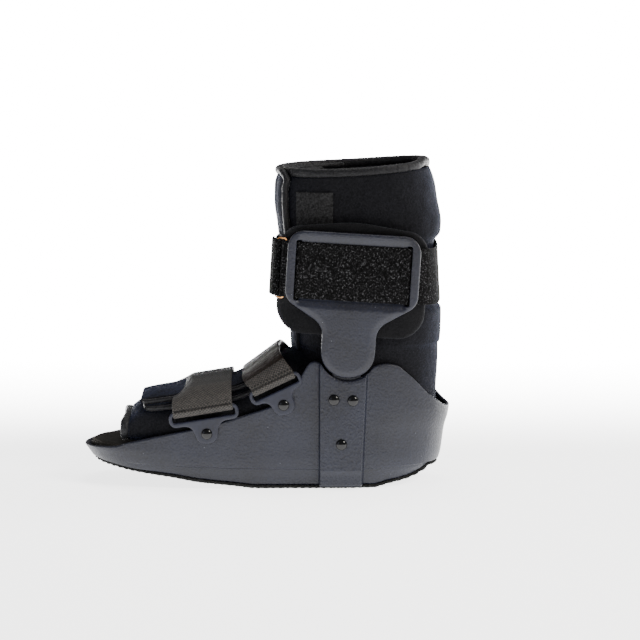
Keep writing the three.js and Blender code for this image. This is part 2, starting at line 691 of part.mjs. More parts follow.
function pad() {
  const outline = rounded([
    { x: PAD_HALF, y: PAD_LOW, r: PAD_CORNER },
    { x: PAD_HALF, y: PAD_SIDE_TOP, r: PAD_CORNER },
    { x: 0, y: PAD_TOP, r: PAD_TOP_RADIUS },
    { x: -PAD_HALF, y: PAD_SIDE_TOP, r: PAD_CORNER },
    { x: -PAD_HALF, y: PAD_LOW, r: PAD_CORNER },
  ], 4);
  const outer = PLATE_OUT - PLATE - GAP;
  const middle = (PAD_LOW + PAD_SIDE_TOP) / 2;
  const shares = [1, 0.72, 0.36];
  const rings = [];
  const ringAt = (share, y) => outline.map((p) => [p.x * share, y, middle + (p.y - middle) * share]);
  shares.slice().reverse().forEach((share) => rings.push(ringAt(share, outer - PAD)));
  shares.forEach((share) => rings.push(ringAt(share, outer)));
  return reshape(loft(rings), (p) => {
    p.y -= padBend(p.x);
    leanOut(p);
  });
}

// Calf strap and its wire ring, in the same frame as the upright

/** Half turn round a wire, as { x, y } stops from one bearing to the other, in degrees. */
function roundWire(wire, from, to, steps = 5) {
  const radius = WIRE * Math.SQRT1_2 + GAP + WEB / 2;
  return Array.from({ length: steps + 1 }, (_, i) => {
    const bearing = (from + ((to - from) * i) / steps) * RAD;
    return { x: wire.u + radius * Math.cos(bearing), y: wire.y + radius * Math.sin(bearing) };
  });
}

function calfStrap() {
  const behindPost = PLATE_OUT - POST - GAP - WEB / 2;
  const overPanel = PLATE_OUT - PLATE + PANEL + GAP + STRAP_FLOAT + WEB / 2;
  const slotStep = SLOT_WIDTH / 2 - WEB / 2 - GAP;
  const back = CALF_BACK + WEB / 2;
  const front = CALF_FRONT - WEB / 2;
  const outside = front - WEB - GAP;
  // One side of the leg, front to back: u beside the plate, y measured outwards.
  const besideLeg = [
    { x: -HEAD_HALF + STRAP_EASE, y: behindPost },
    { x: -SLOT_AT - slotStep, y: behindPost },
    { x: -SLOT_AT + slotStep, y: overPanel },
    { x: SLOT_AT - slotStep, y: overPanel },
    { x: SLOT_AT + slotStep, y: behindPost },
    { x: HEAD_HALF - STRAP_EASE, y: behindPost },
    { x: HEAD_HALF + 2, y: behindPost * 0.968 },
    { x: back * 0.88, y: behindPost * 0.885 },
    { x: back * 0.95, y: behindPost * 0.72 },
    { x: back * 0.985, y: behindPost * 0.45 },
  ];
  const aroundShin = [
    { x: -HEAD_HALF - 2, y: behindPost * 0.962 },
    { x: front * 0.935, y: behindPost * 0.86 },
    { x: front * 0.975, y: behindPost * 0.71 },
    { x: front * 0.995, y: behindPost * 0.4 },
  ];
  const nearSide = besideLeg.map((p) => ({ x: p.x, y: -p.y }));
  const farSide = besideLeg.slice().reverse();
  const shin = aroundShin.concat([
    { x: front, y: 0 },
    { x: front * 0.995, y: -behindPost * 0.4 },
    { x: front * 0.983, y: -behindPost * 0.65 },
    { x: front * 0.975, y: -behindPost * 0.715 },
  ]);
  const tail = [
    { x: outside * 0.998, y: -behindPost * 0.69 },
    { x: outside, y: -behindPost * 0.4 },
    { x: outside, y: 0 },
    { x: outside, y: CALF_TAIL },
  ];
  const sewnEnd = { x: WIRE_REAR.u + 5, y: WIRE_REAR.y - 1 };   // turned back behind the strap
  const ringBearing = Math.atan2(WIRE_FRONT.y - WIRE_REAR.y, WIRE_FRONT.u - WIRE_REAR.u) / RAD;
  const route = [sewnEnd].concat(
    roundWire(WIRE_REAR, ringBearing - 90, ringBearing + 90),
    nearSide,
    [{ x: back, y: 0 }],
    farSide,
    shin,
    roundWire(WIRE_FRONT, ringBearing - 100, ringBearing - 285, 6),
    tail,
  );
  const outline = bandOutline(route.map((p) => ({ ...p, thick: WEB })));
  const strap = new THREE.ExtrudeGeometry(new THREE.Shape(outline), { depth: CALF_WEB, bevelEnabled: false });
  return reshape(closed(strap), (p) => {
    p.z += SLOT_MIDDLE - CALF_WEB / 2;
    const past = THREE.MathUtils.clamp((p.x - HEAD_HALF) / (CALF_BACK - HEAD_HALF), 0, 1);
    p.x += past * CALF_BACK_TAPER * (p.z - SLOT_MIDDLE);
    leanOut(p, Math.min(1, Math.abs(p.y) / 50));
  });
}

function calfRing() {
  const span = Math.hypot(WIRE_REAR.u - WIRE_FRONT.u, WIRE_REAR.y - WIRE_FRONT.y) / 2 + WIRE / 2;
  const frame = (half, high, radius) => rounded([
    { x: half, y: -high, r: radius },
    { x: half, y: high, r: radius },
    { x: -half, y: high, r: radius },
    { x: -half, y: -high, r: radius },
  ], 2);
  const high = WIRE_HEIGHT / 2;
  const geometry = fromSide(
    frame(span, high, WIRE * 1.2),
    -WIRE / 2,
    WIRE / 2,
    [frame(span - WIRE, high - WIRE, WIRE * 0.4)],
  );
  const turn = Math.atan2(WIRE_REAR.y - WIRE_FRONT.y, WIRE_REAR.u - WIRE_FRONT.u);
  geometry.rotateZ(turn);
  geometry.translate((WIRE_REAR.u + WIRE_FRONT.u) / 2, (WIRE_REAR.y + WIRE_FRONT.y) / 2, SLOT_MIDDLE);
  return reshape(closed(geometry), (p) => leanOut(p));
}

// Strap rings and their webbing, in each ring's own frame: p along the slot, q up from the rivet

/** Plane of a ring's inner face: clear of the shell's wall beside the ear. */
function ringInside(ring) {
  const level = SHELL_LEVELS[SHELL_LEVELS.length - 2];
  const wall = Math.max(shellHalfWidth(ring.x - EAR, level), shellHalfWidth(ring.x + EAR, level));
  return wall + GAP;
}

function ringPlate(ring) {
  const half = ring.web / 2 + WEB_PLAY + RING_SIDE;
  const slotHalf = ring.web / 2 + WEB_PLAY;
  const slotLow = RING_SLOT_UP - RING_SLOT / 2;
  const slotTop = RING_SLOT_UP + RING_SLOT / 2;
  const low = slotLow - RING_FOOT_BAR;
  const top = slotTop + RING_BAR;
  const side = [
    { x: EAR, y: -EAR, r: EAR * 0.99 },
    { x: EAR + NECK_FLARE, y: low, r: EAR },
    { x: half, y: low, r: RING_CORNER },
    { x: half, y: top, r: RING_CORNER },
  ];
  const outline = rounded(side.concat(side.slice().reverse().map((c) => ({ ...c, x: -c.x }))), 3);
  const slot = rounded([
    { x: slotHalf, y: slotLow, r: WEB_PLAY * 0.6 },
    { x: slotHalf, y: slotTop, r: WEB_PLAY * 0.6 },
    { x: -slotHalf, y: slotTop, r: WEB_PLAY * 0.6 },
    { x: -slotHalf, y: slotLow, r: WEB_PLAY * 0.6 },
  ], 1);
  const hole = Array.from({ length: 8 }, (_, i) => {
    const turn = (i / 8) * 2 * Math.PI;
    return new THREE.Vector2(Math.cos(turn) * RIVET_HOLE, Math.sin(turn) * RIVET_HOLE);
  });
  const inside = ringInside(ring);
  return closed(fromSide(outline, inside, inside + RING_PLATE, [slot, hole]));
}

function footStrap(ring) {
  const barOut = ringInside(ring) + RING_PLATE / 2;
  const barLow = RING_SLOT_UP + RING_SLOT / 2;
  const barTop = barLow + RING_BAR;
  const round = RING_PLATE / 2 + GAP + WEB;
  const half = [
    { x: barOut, y: barLow - GAP - WEB, thick: round * 1.1 },
    { x: barOut, y: barLow, thick: round * 2 },
    { x: barOut, y: barTop + GAP, thick: round * 2 },
  ].concat(OVER_FOOT.filter((row) => row.up * ring.top > barTop + WEB / 2).map((row) => ({
    x: row.out * barOut,
    y: row.up * ring.top,
    thick: row.thick * WEB,
  })));
  const route = half.concat(half.slice(0, -1).reverse().map((p) => ({ ...p, x: -p.x })));
  const shape = new THREE.Shape(bandOutline(route));
  [-1, 1].forEach((side) => {
    const [w, low, high] = [RING_PLATE / 2 + GAP, barLow - GAP, barTop + GAP];
    const corners = [[w, low], [w, high], [-w, high], [-w, low]];
    shape.holes.push(new THREE.Path(corners.map(([x, y]) => new THREE.Vector2(side * barOut + x, y))));
  });
  const geometry = closed(new THREE.ExtrudeGeometry(shape, { depth: ring.web, steps: 2, bevelEnabled: false }));
  return reshape(geometry, (p) => {
    const [across, up, along] = [p.x, p.y, p.z - ring.web / 2];
    const share = Math.max(0, up - barTop) / (ring.top - barTop);
    p.set(along, across, up + ring.rise * along * share);
  });
}

// Soft boot

const legTop = (x) => LEG_TOP_RISE * Math.max(0, (x / HALF_LENGTH - LEG[LEG.length - 1].front) / 0.8) ** 2;

/** Point on the leg at height share up, bearing in degrees (180 is the shin, 270 the near side). */
function legPoint(up, bearing, offset) {
  const front = read(LEG, 'up', up, 'front') * HALF_LENGTH - offset;
  const back = read(LEG, 'up', up, 'back') * HALF_LENGTH + offset;
  const wide = read(LEG, 'up', up, 'wide') * HALF_WIDTH + offset;
  const round = read(LEG, 'up', up, 'round');
  const x = (front + back) / 2 + ((back - front) / 2) * superPower(Math.cos(bearing * RAD), round);
  const y = wide * superPower(Math.sin(bearing * RAD), round);
  return [x, y, up * LEG_HEIGHT + read(LEG, 'up', up, 'edge') * legTop(x)];
}

/** Point on the foot at length share along, bearing in degrees (0 is the instep, 90 the far side). */
function footPoint(along, bearing, offset) {
  const low = insoleTop(along) + read(FOOT, 'along', along, 'low') * SHELL_HEIGHT - offset;
  const high = read(FOOT, 'along', along, 'high') * SHELL_HEIGHT + offset;
  const wide = read(FOOT, 'along', along, 'wide') * HALF_WIDTH + offset;
  const up = superPower(Math.cos(bearing * RAD), FOOT_ROUND);
  const toeward = THREE.MathUtils.clamp(1 - ((along - LINER_TOE) * HALF_LENGTH) / TOE_EDGE, 0, 1);
  const x = along * HALF_LENGTH + toeward * TOE_EDGE_BACK * Math.max(0, up) ** 3;
  return [x, wide * superPower(Math.sin(bearing * RAD), FOOT_ROUND), (low + high) / 2 + ((high - low) / 2) * up];
}

const TUBE_SIDES = 28;

/** Bearings packed towards the corners of the cross-section, so that few sides follow its shape. */
const bearings = (count) => Array.from({ length: count }, (_, i) => {
  const turn = (i / count) * 360;
  return turn + 9 * Math.sin(4 * turn * RAD);
});

function legTube(count, offset, extend, rows) {
  const rings = rows.map((row) => bearings(count).map((b) => legPoint(row.up, b, offset)));
  if (extend) rings.push(rings[rings.length - 1].map(([x, y, z]) => [x, y, z + extend]));
  return loft(rings);
}

function footTube(count, offset, extend, rows) {
  const rings = rows.map((row) => bearings(count).map((b) => footPoint(row.along, b, offset)));
  if (extend) rings.unshift(rings[0].map(([x, y, z]) => [x - extend, y, z]));
  return loft(rings);
}

function liner() {
  const outer = toSolid(legTube(TUBE_SIDES, 0, 0, LEG)).add(toSolid(footTube(TUBE_SIDES, 0, 0, FOOT)));
  const legRows = LEG.filter((row, i) => ![0, 3, 6, 9].includes(i));
  const footRows = FOOT.filter((row, i) => ![1, 4, 11].includes(i));
  const inner = toSolid(legTube(20, -FOAM, 2 * FOAM, legRows))
    .add(toSolid(footTube(20, -FOAM, 4 * FOAM, footRows)));
  return fromSolid(outer.subtract(inner));
}

/** Second layer over the shin, from the far side round to a bearing on the near side. */
function legFlap() {
  const columns = stretch(bearings(TUBE_SIDES), FLAP_FROM, FLAP_TO);
  const rows = stretch(LEG.map((row) => row.up), FLAP_LOW, 1);
  return slab(columns, rows, (bearing, up, side) => legPoint(up, bearing, GAP + side * FLAP));
}

/** Flap over the instep: near and far are bearings, lift is the height of its underside. */
function footFlap({ from, to, near, far, lift }) {
  const sides = bearings(TUBE_SIDES).map((b) => (b > 180 ? b - 360 : b)).sort((a, b) => a - b);
  const rows = stretch(FOOT.map((row) => row.along), from, to);
  return slab(stretch(sides, near, far), rows, (b, along, side) => footPoint(along, b, lift + side * FLAP));
}

function fasteningPatch() {
  const bearingAt = (x, up) => {
    let [low, high] = [200, 270];
    for (let i = 0; i < 24; i += 1) {
      const middle = (low + high) / 2;
      if (legPoint(up, middle, 0)[0] < x) low = middle;
      else high = middle;
    }
    return low;
  };
  return slab([0, 0.25, 0.5, 0.75, 1], [PATCH_LOW, PATCH_TOP], (across, up, side) => {
    const bearing = bearingAt(between(PATCH_FRONT, PATCH_BACK, across), up);
    return legPoint(up, bearing, 3 * GAP + side * PATCH);
  });
}

/** Binding along the top edge of the leg: a hoop that sits on the cut edge. */
function topBinding() {
  const rings = bearings(TUBE_SIDES).map((bearing) => {
    const [inX, inY] = legPoint(1, bearing, -FOAM);
    const [outX, outY, z] = legPoint(1, bearing, 0);
    return Array.from({ length: 6 }, (_, i) => {
      const turn = (i / 6) * 2 * Math.PI;
      const across = 0.5 + 0.55 * Math.cos(turn);
      return [
        between(inX, outX, across),
        between(inY, outY, across),
        z + 2 * GAP + BINDING / 2 + (BINDING / 2) * Math.sin(turn) / Math.sin(Math.PI / 3),
      ];
    });
  });
  return loft(rings, true);
}

const toVector = (p, lift = 0) => new THREE.Vector3(p[0], p[1], p[2] + lift);

/** Binding of the leg flap: over its top edge from the far side, then down its near edge. */
function legFlapBinding() {
  const middle = GAP + FLAP / 2 + FLAP_BINDING * 0.4;
  const edge = FLAP_TO + 4.6;    // past the flap's edge, clear of it by the binding's radius
  const lift = BINDING / 2 + GAP;
  const over = [FLAP_FROM, 135, 150, 165, 180, 192, 201, FLAP_TO + 1, FLAP_TO + 3.6];
  const down = [0.985, 0.95, 0.9, 0.84, 0.78, 0.7, 0.6, 0.5, FLAP_LOW];
  const path = over.map((bearing) => toVector(legPoint(1, bearing, middle), lift))
    .concat(down.map((up) => toVector(legPoint(up, edge, middle))));
  return bar(path, FLAP_BINDING, 6, 28);
}

/** Binding of the open toe: up the near side, over the top and down the far side. */
function toeBinding() {
  const half = [0, 18, 34, 48, 62, 80, 100, 118];
  const round = half.slice(1).reverse().map((b) => -b).concat(half);
  const path = round.map((bearing) => {
    const [x, y, z] = footPoint(FOOT[0].along, bearing, -FOAM / 2);
    const up = Math.max(0, Math.cos(bearing * RAD));
    return new THREE.Vector3(x - (BINDING / 2 + GAP) * (1 + 0.8 * up), y, z + 0.5 * up);
  });
  return bar(path, BINDING / 2, 6, 22);
}

// Assembly

const boot = new THREE.Group();

function piece(name, geometry, material, parent = boot) {
  const mesh = new THREE.Mesh(geometry, material);
  mesh.name = name;
  parent.add(mesh);
  return mesh;
}

piece('outsole', outsole(), MATERIALS.rubber);
piece('shell', shell(), MATERIALS.plastic);
piece('insole', insole(), MATERIALS.insole);
piece('liner', liner(), MATERIALS.cloth);
piece('leg_flap', legFlap(), MATERIALS.cloth);
FOOT_FLAPS.forEach((flap) => piece(flap.name, footFlap(flap), MATERIALS.cloth));
piece('top_binding', topBinding(), MATERIALS.binding);
piece('leg_flap_binding', legFlapBinding(), MATERIALS.binding);
piece('toe_binding', toeBinding(), MATERIALS.binding);
piece('fastening_patch', fasteningPatch(), MATERIALS.hookTape);

const plateFrame = new THREE.Group();
plateFrame.position.set(STEM_X, 0, STEM_Z);
plateFrame.rotation.y = UPRIGHT_TILT * RAD;
boot.add(plateFrame);
piece('calf_strap', calfStrap(), MATERIALS.loopPile, plateFrame);
piece('calf_ring', calfRing(), MATERIALS.wire, plateFrame);

const SIDES = [{ name: 'left', sign: -1 }, { name: 'right', sign: 1 }];
const toSide = (geometry, sign) => (sign > 0 ? geometry : mirrored(geometry));

SIDES.forEach(({ name, sign }) => {
  piece(`upright_${name}`, toSide(upright(), sign), MATERIALS.plastic, plateFrame);
  piece(`pad_${name}`, toSide(pad(), sign), MATERIALS.foam, plateFrame);
  UPRIGHT_RIVETS.forEach(({ x, z }, i) => {
    const grip = CHANNEL_WALL + 2 * GAP + TONGUE + GAP;
    const mesh = piece(`upright_rivet_${name}_${i + 1}`, toSide(rivet(grip), sign), MATERIALS.blackRivet);
    mesh.position.set(x, sign * (CHANNEL_FACE + GAP), z);
  });
});

[['forefoot', FOREFOOT], ['instep', INSTEP]].forEach(([place, ring]) => {
  const frame = new THREE.Group();
  frame.position.set(ring.x, 0, ring.z);
  frame.rotation.y = -ring.tilt * RAD;
  boot.add(frame);
  piece(`${place}_strap`, footStrap(ring), MATERIALS.webbing, frame);
  SIDES.forEach(({ name, sign }) => {
    piece(`${place}_ring_${name}`, toSide(ringPlate(ring), sign), MATERIALS.ringPlastic, frame);
    const seat = ringInside(ring) + RING_PLATE + GAP;
    const grip = RING_PLATE + WALL + 6 * GAP;
    const mesh = piece(`${place}_rivet_${name}`, toSide(rivet(grip), sign), MATERIALS.blackRivet);
    mesh.position.set(ring.x, sign * seat, ring.z);
  });
});

export default boot;
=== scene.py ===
"""Short medical walking boot: the looks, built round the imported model.

Lengths are millimetres until a mesh is made. X runs from the toe to the heel, -Y is the side that the
photograph shows, Z is up and the ground is at zero.
"""
import math

import bmesh
import bpy
import numpy as np
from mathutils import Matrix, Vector
from mathutils.geometry import delaunay_2d_cdt


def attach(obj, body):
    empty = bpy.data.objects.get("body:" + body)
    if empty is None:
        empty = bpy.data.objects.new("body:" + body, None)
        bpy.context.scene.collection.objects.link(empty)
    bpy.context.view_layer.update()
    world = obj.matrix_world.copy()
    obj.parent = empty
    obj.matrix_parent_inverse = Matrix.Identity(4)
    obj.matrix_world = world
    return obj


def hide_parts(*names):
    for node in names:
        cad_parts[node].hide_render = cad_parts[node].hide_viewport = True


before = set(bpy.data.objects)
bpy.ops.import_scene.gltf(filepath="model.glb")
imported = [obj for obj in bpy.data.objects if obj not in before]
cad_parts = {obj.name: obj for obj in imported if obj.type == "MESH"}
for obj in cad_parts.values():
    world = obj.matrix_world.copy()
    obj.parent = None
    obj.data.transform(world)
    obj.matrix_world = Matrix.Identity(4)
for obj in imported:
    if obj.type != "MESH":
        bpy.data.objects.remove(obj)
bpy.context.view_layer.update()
random = np.random.default_rng(7)

MM = 0.001
TURN = 2 * math.pi

# Sizes of the shell
HALF_LENGTH = 154.0
LENGTH = 2 * HALF_LENGTH
HALF_WIDTH = 56.0
WALL = 3.0
RUBBER = 3.0
GAP = 0.3
CHANNEL_FACE = 58.5
CHANNEL_WALL = 3.5
CHANNEL_FRONT = 44.2
CHANNEL_BACK_TOP = 83.8
CHANNEL_BACK_SOLE = 79.7
NOTCH = (68.2, 116.5, 24.5)          # x, z and radius of the round notch that the stem's end sits in
LEDGE = 16.8
LEDGE_RISE = 3.7
FLOOR_TOE = 26.5
FLOOR_HEEL = 20.0
INSOLE_TOE = 9.0
INSOLE_HEEL = 7.5

# Upright, in its own frame: u along, v up from the stem's bottom
STEM_X = 66.8
STEM_Z = 94.2
UPRIGHT_TILT = 3.5
UPRIGHT_LEAN = 0.05
SLOT_MIDDLE = 88.0
PLATE = 6.0
PLATE_OUT = CHANNEL_FACE + UPRIGHT_LEAN * SLOT_MIDDLE
HEAD_HALF = 54.8
HEAD_TOP = 121.0
STEM_HALF = 22.3
SLOT_AT = 45.6
SLOT_WIDTH = 4.5
SLOT_HEIGHT = 50.0
POST = 3.0
PANEL = 2.5

# Strap rings, in their own frames: p along the slot, q up from the rivet
RING_PLATE = 2.6
EAR = 8.2
RING_SLOT = 6.0
RING_SLOT_UP = 15.7
RING_BAR = 3.5
RING_FOOT_BAR = 4.0
RING_SIDE = 3.0
WEB = 2.2
WEB_PLAY = 1.2
FOREFOOT = {"x": -48.7, "z": 47.7, "tilt": 9.2, "web": 50.0, "inside": 55.5}
INSTEP = {"x": 15.0, "z": 71.5, "tilt": 25.4, "web": 38.0, "inside": 53.6}

# Soft boot
FOAM = 5.0
FLAP = 3.5
LEG_HEIGHT = 258.5
CALF_WEB = 47.0
FLAP_EDGE = 1.6                      # rounded border of a flap
FOOT_ROUND = 2.7                     # exponent of the foot's cross-section
TAPE_SEAT = 3.4                      # height of a binding's middle above the leg's top edge
PAD_THICK = 5.2
STRAP_BACK = 70.2                    # place of the calf strap behind the leg
STRAP_DROP = 6.5                     # how much lower the calf strap runs over the shin
TAB_LIFT = 1.3                       # half of the distance between the two layers of a foot strap
BAR_WRAP = 12.0                      # webbing that goes round a ring's bar
RIVET_GRIP = 7.4


# Mathematics

def curve(x, xs, ys):
    """Smooth curve through a table: cubic pieces whose slope at each point is the harmonic mean of the
    slopes on both sides, so that it never overshoots the table."""
    xs, ys = np.asarray(xs, float), np.asarray(ys, float)
    step = np.diff(xs)
    rise = np.diff(ys) / step
    slope = np.concatenate([rise[:1], np.zeros(len(rise) - 1), rise[-1:]])
    same = rise[:-1] * rise[1:] > 0
    total = np.where(same, rise[:-1] + rise[1:], 1)
    slope[1:-1] = np.where(same, 2 * rise[:-1] * rise[1:] / total, 0)
    x = np.clip(x, xs[0], xs[-1])
    k = np.clip(np.searchsorted(xs, x, side="right") - 1, 0, len(step) - 1)
    t = (x - xs[k]) / step[k]
    return (
        (1 + 2 * t) * (1 - t) ** 2 * ys[k] + t * (1 - t) ** 2 * step[k] * slope[k]
        + t * t * (3 - 2 * t) * ys[k + 1] - t * t * (1 - t) * step[k] * slope[k + 1]
    )


def table(rows, key, x):
    """Reads every column of a table of rows at x, as smooth curves against the key column."""
    keys = [row[key] for row in rows]
    return {name: curve(x, keys, [row[name] for row in rows]) for name in rows[0] if name != key}


def ramp(x, start, end):
    """Smooth step from 0 at start to 1 at end: t squared times 3 - 2t."""
    t = np.clip((x - start) / (end - start), 0, 1)
    return t * t * (3 - 2 * t)


def unit(vectors):
    return vectors / np.maximum(np.linalg.norm(vectors, axis=-1, keepdims=True), 1e-9)


def power(value, exponent):
    """Signed power, for superellipses."""
    return np.sign(value) * np.abs(value) ** exponent


def spline(points, count, closed=False):
    """Curve through chosen points, by Catmull-Rom pieces, as count places at equal steps along it."""
    points = np.asarray(points, float)
    if closed:
        padded = np.concatenate([points[-1:], points, points[:2]])
    else:
        padded = np.concatenate([2 * points[:1] - points[1:2], points, 2 * points[-1:] - points[-2:-1]])
    a, b, c, d = (padded[i:len(padded) - 3 + i, None] for i in range(4))
    t = np.linspace(0, 1, 24, endpoint=False)[None, :, None]
    square, cube = 2 * a - 5 * b + 4 * c - d, 3 * b - a - 3 * c + d
    fine = 0.5 * (2 * b + (c - a) * t + square * t ** 2 + cube * t ** 3)
    fine = fine.reshape(-1, points.shape[1])
    fine = np.concatenate([fine, points[:1] if closed else points[-1:]])
    along = np.concatenate([[0], np.cumsum(np.linalg.norm(np.diff(fine, axis=0), axis=1))])
    at = np.linspace(0, along[-1], count, endpoint=not closed)
    return np.stack([np.interp(at, along, fine[:, k]) for k in range(points.shape[1])], 1)


def rounded(corners, steps=8):
    """Closed outline whose corners (x, y, radius) are turned by arcs."""
    out = []
    for i, (x, y, radius) in enumerate(corners):
        here = np.array([x, y])
        back = np.array(corners[i - 1][:2]) - here
        on = np.array(corners[(i + 1) % len(corners)][:2]) - here
        half = math.acos(np.clip(unit(back) @ unit(on), -1, 1)) / 2
        reach = min(radius / math.tan(half), 0.499 * np.linalg.norm(back), 0.499 * np.linalg.norm(on))
        start, end = here + unit(back) * reach, here + unit(on) * reach
        r = reach * math.tan(half)
        centre = here + unit((start + end) / 2 - here) * r / math.sin(half)
        turn = [math.atan2(*(p - centre)[::-1]) for p in (start, end)]
        sweep_by = (turn[1] - turn[0] + math.pi) % TURN - math.pi
        angles = turn[0] + sweep_by * np.linspace(0, 1, steps + 1)
        out.append(centre + r * np.stack([np.cos(angles), np.sin(angles)], 1))
    return np.concatenate(out)


def resample(loop, step):
    """Places at equal steps round a closed outline."""
    ends = np.concatenate([loop, loop[:1]])
    along = np.concatenate([[0], np.cumsum(np.linalg.norm(np.diff(ends, axis=0), axis=1))])
    at = np.linspace(0, along[-1], max(12, int(along[-1] / step)), endpoint=False)
    return np.stack([np.interp(at, along, ends[:, k]) for k in (0, 1)], 1)


def ripples(points, size, amount, seed):
    """Gentle unevenness: a sum of plane waves in random directions, with wavelengths about size."""
    source = np.random.default_rng(seed)
    total = np.zeros(points.shape[:-1])
    for _ in range(9):
        direction = unit(source.normal(size=3))
        wave = size * source.uniform(0.7, 1.6)
        total += np.sin(points @ direction * TURN / wave + source.uniform(0, TURN))
    return amount * total / 3


def tilted(points, x, z, degrees):
    """Places (along, across, up) of a tilted frame in the boot's frame: turned about the Y axis, then moved
    to x, z."""
    c, s = math.cos(math.radians(degrees)), math.sin(math.radians(degrees))
    along, across, up = points[..., 0], points[..., 1], points[..., 2]
    return np.stack([x + along * c + up * s, across, z - along * s + up * c], -1)


def upright_place(points, lean=1.0):
    """From the upright's frame: it leans outwards with height, then stands on the stem's bottom."""
    leaning = points.copy()
    leaning[..., 1] += np.sign(points[..., 1]) * lean * UPRIGHT_LEAN * (points[..., 2] - SLOT_MIDDLE)
    return tilted(leaning, STEM_X, STEM_Z, UPRIGHT_TILT)


def ring_place(points, ring):
    return tilted(points, ring["x"], ring["z"], -ring["tilt"])


# Meshes

def grid(rows, columns, loop_rows=False, loop_columns=False):
    """Quads between neighbouring places of a grid whose places are numbered row by row."""
    r = np.arange(rows if loop_rows else rows - 1)[:, None]
    c = np.arange(columns if loop_columns else columns - 1)[None, :]
    on_r, on_c = (r + 1) % rows, (c + 1) % columns
    quads = [r * columns + c, r * columns + on_c, on_r * columns + on_c, on_r * columns + c]
    return np.stack(quads, -1).reshape(-1, 4)


def build(name, parts, material, slot, uv=None, merge=0.004):
    """One mesh from parts of (points, list of face arrays). Places closer than merge become one, and the
    faces are turned outwards. uv holds a place on the cloth, in metres, for each point."""
    points, loops, sizes, offset = [], [], [], 0
    for part_points, part_faces in parts:
        flat = np.asarray(part_points, float).reshape(-1, 3)
        for faces in part_faces:
            loops.append((faces + offset).ravel())
            sizes.append(np.full(len(faces), faces.shape[1]))
        points.append(flat)
        offset += len(flat)
    points, loops, sizes = np.concatenate(points), np.concatenate(loops), np.concatenate(sizes)
    mesh = bpy.data.meshes.new(name)
    mesh.vertices.add(len(points))
    mesh.vertices.foreach_set("co", (points * MM).astype(np.float32).ravel())
    mesh.loops.add(len(loops))
    mesh.loops.foreach_set("vertex_index", loops.astype(np.int32))
    mesh.polygons.add(len(sizes))
    mesh.polygons.foreach_set("loop_start", (np.cumsum(sizes) - sizes).astype(np.int32))
    mesh.update(calc_edges=True)
    if uv is not None:
        layer = mesh.uv_layers.new(name="cloth")
        layer.data.foreach_set("uv", (uv.reshape(-1, 2)[loops] * MM).astype(np.float32).ravel())
    mesh.validate()
    work = bmesh.new()
    work.from_mesh(mesh)
    bmesh.ops.remove_doubles(work, verts=work.verts, dist=merge * MM)
    bmesh.ops.dissolve_degenerate(work, edges=work.edges, dist=merge * MM / 4)
    bmesh.ops.recalc_face_normals(work, faces=work.faces)
    work.to_mesh(mesh)
    work.free()
    mesh.shade_smooth()
    mesh.materials.append(material)
    piece = bpy.data.objects.new(name, mesh)
    bpy.context.scene.collection.objects.link(piece)
    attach(piece, "root")
    return piece


def mirrored(points):
    return points * np.array([1.0, -1.0, 1.0])


def both_halves(points):
    """A grid of places on the far side, and its mirror image on the near side."""
    faces = [grid(*points.shape[:2])]
    return [(points, faces), (mirrored(points), faces)]


def sweep(path, normal, section, closed=False):
    """A profile carried along a path. The profile's first axis follows normal, made square to the path, and
    its second the cross product of the path's direction with it. Open ends are closed by a fan."""
    if closed:
        tangent = unit(np.roll(path, -1, 0) - np.roll(path, 1, 0))
    else:
        tangent = unit(np.gradient(path, axis=0))
    normal = np.broadcast_to(normal, path.shape)
    normal = unit(normal - tangent * np.sum(normal * tangent, -1, keepdims=True))
    side = np.cross(tangent, normal)
    section = np.broadcast_to(section, (len(path),) + section.shape[-2:])
    points = path[:, None] + section[..., :1] * normal[:, None] + section[..., 1:] * side[:, None]
    if not closed:
        first, last = points[:1].mean(1, keepdims=True), points[-1:].mean(1, keepdims=True)
        hub = np.ones((1, points.shape[1], 1))
        points = np.concatenate([first * hub, points, last * hub])
    return points, [grid(points.shape[0], points.shape[1], closed, True)]


def band_section(width, thick, across=12, turn=4):
    """Cross-section of webbing: two flat faces and two half-round edges, as (thickness, width) places."""
    flat = width / 2 - thick / 2
    line = np.linspace(-flat, flat, across)
    arc = np.linspace(0, math.pi, turn + 2)[1:-1]
    right = np.stack([thick / 2 * np.cos(arc), flat + thick / 2 * np.sin(arc)], 1)
    top = np.stack([np.full(across, thick / 2), line], 1)
    return np.concatenate([top, right, -top, -right])


def oval_section(high, deep, count=16, exponent=2.0):
    turn = np.arange(count) / count * TURN
    return np.stack([
        high / 2 * power(np.cos(turn), 2 / exponent), deep / 2 * power(np.sin(turn), 2 / exponent)], 1)


def pillow(middle, normal, half):
    """A closed skin on both sides of a middle surface, half thick at each place, which meets itself at the
    border, where half is nought."""
    rows, columns = middle.shape[:2]
    up = middle + normal * half[..., None]
    down = middle - normal * half[..., None]
    return [(up, [grid(rows, columns)]), (down, [grid(rows, columns)[:, ::-1]])]


def edge_round(u, v, reach_u, reach_v, thick):
    """Half thickness of a layer with rounded edges: a quarter ellipse over the last stretch before each
    border. u and v are the distances from the nearest border."""
    share = np.minimum(np.clip(u / reach_u, 0, 1), np.clip(v / reach_v, 0, 1))
    return thick / 2 * np.sqrt(np.clip(1 - (1 - share) ** 2, 0, 1))


def inside(points, loop):
    """Whether each place lies within a closed outline, by counting the sides that a ray crosses."""
    a, b = loop[None], np.roll(loop, -1, 0)[None]
    x, y = points[:, None, 0], points[:, None, 1]
    spans = (a[..., 1] > y) != (b[..., 1] > y)
    rise = np.where(np.abs(b[..., 1] - a[..., 1]) < 1e-12, 1e-12, b[..., 1] - a[..., 1])
    crossing = a[..., 0] + (y - a[..., 1]) / rise * (b[..., 0] - a[..., 0])
    return (spans & (x < crossing)).sum(1) % 2 == 1


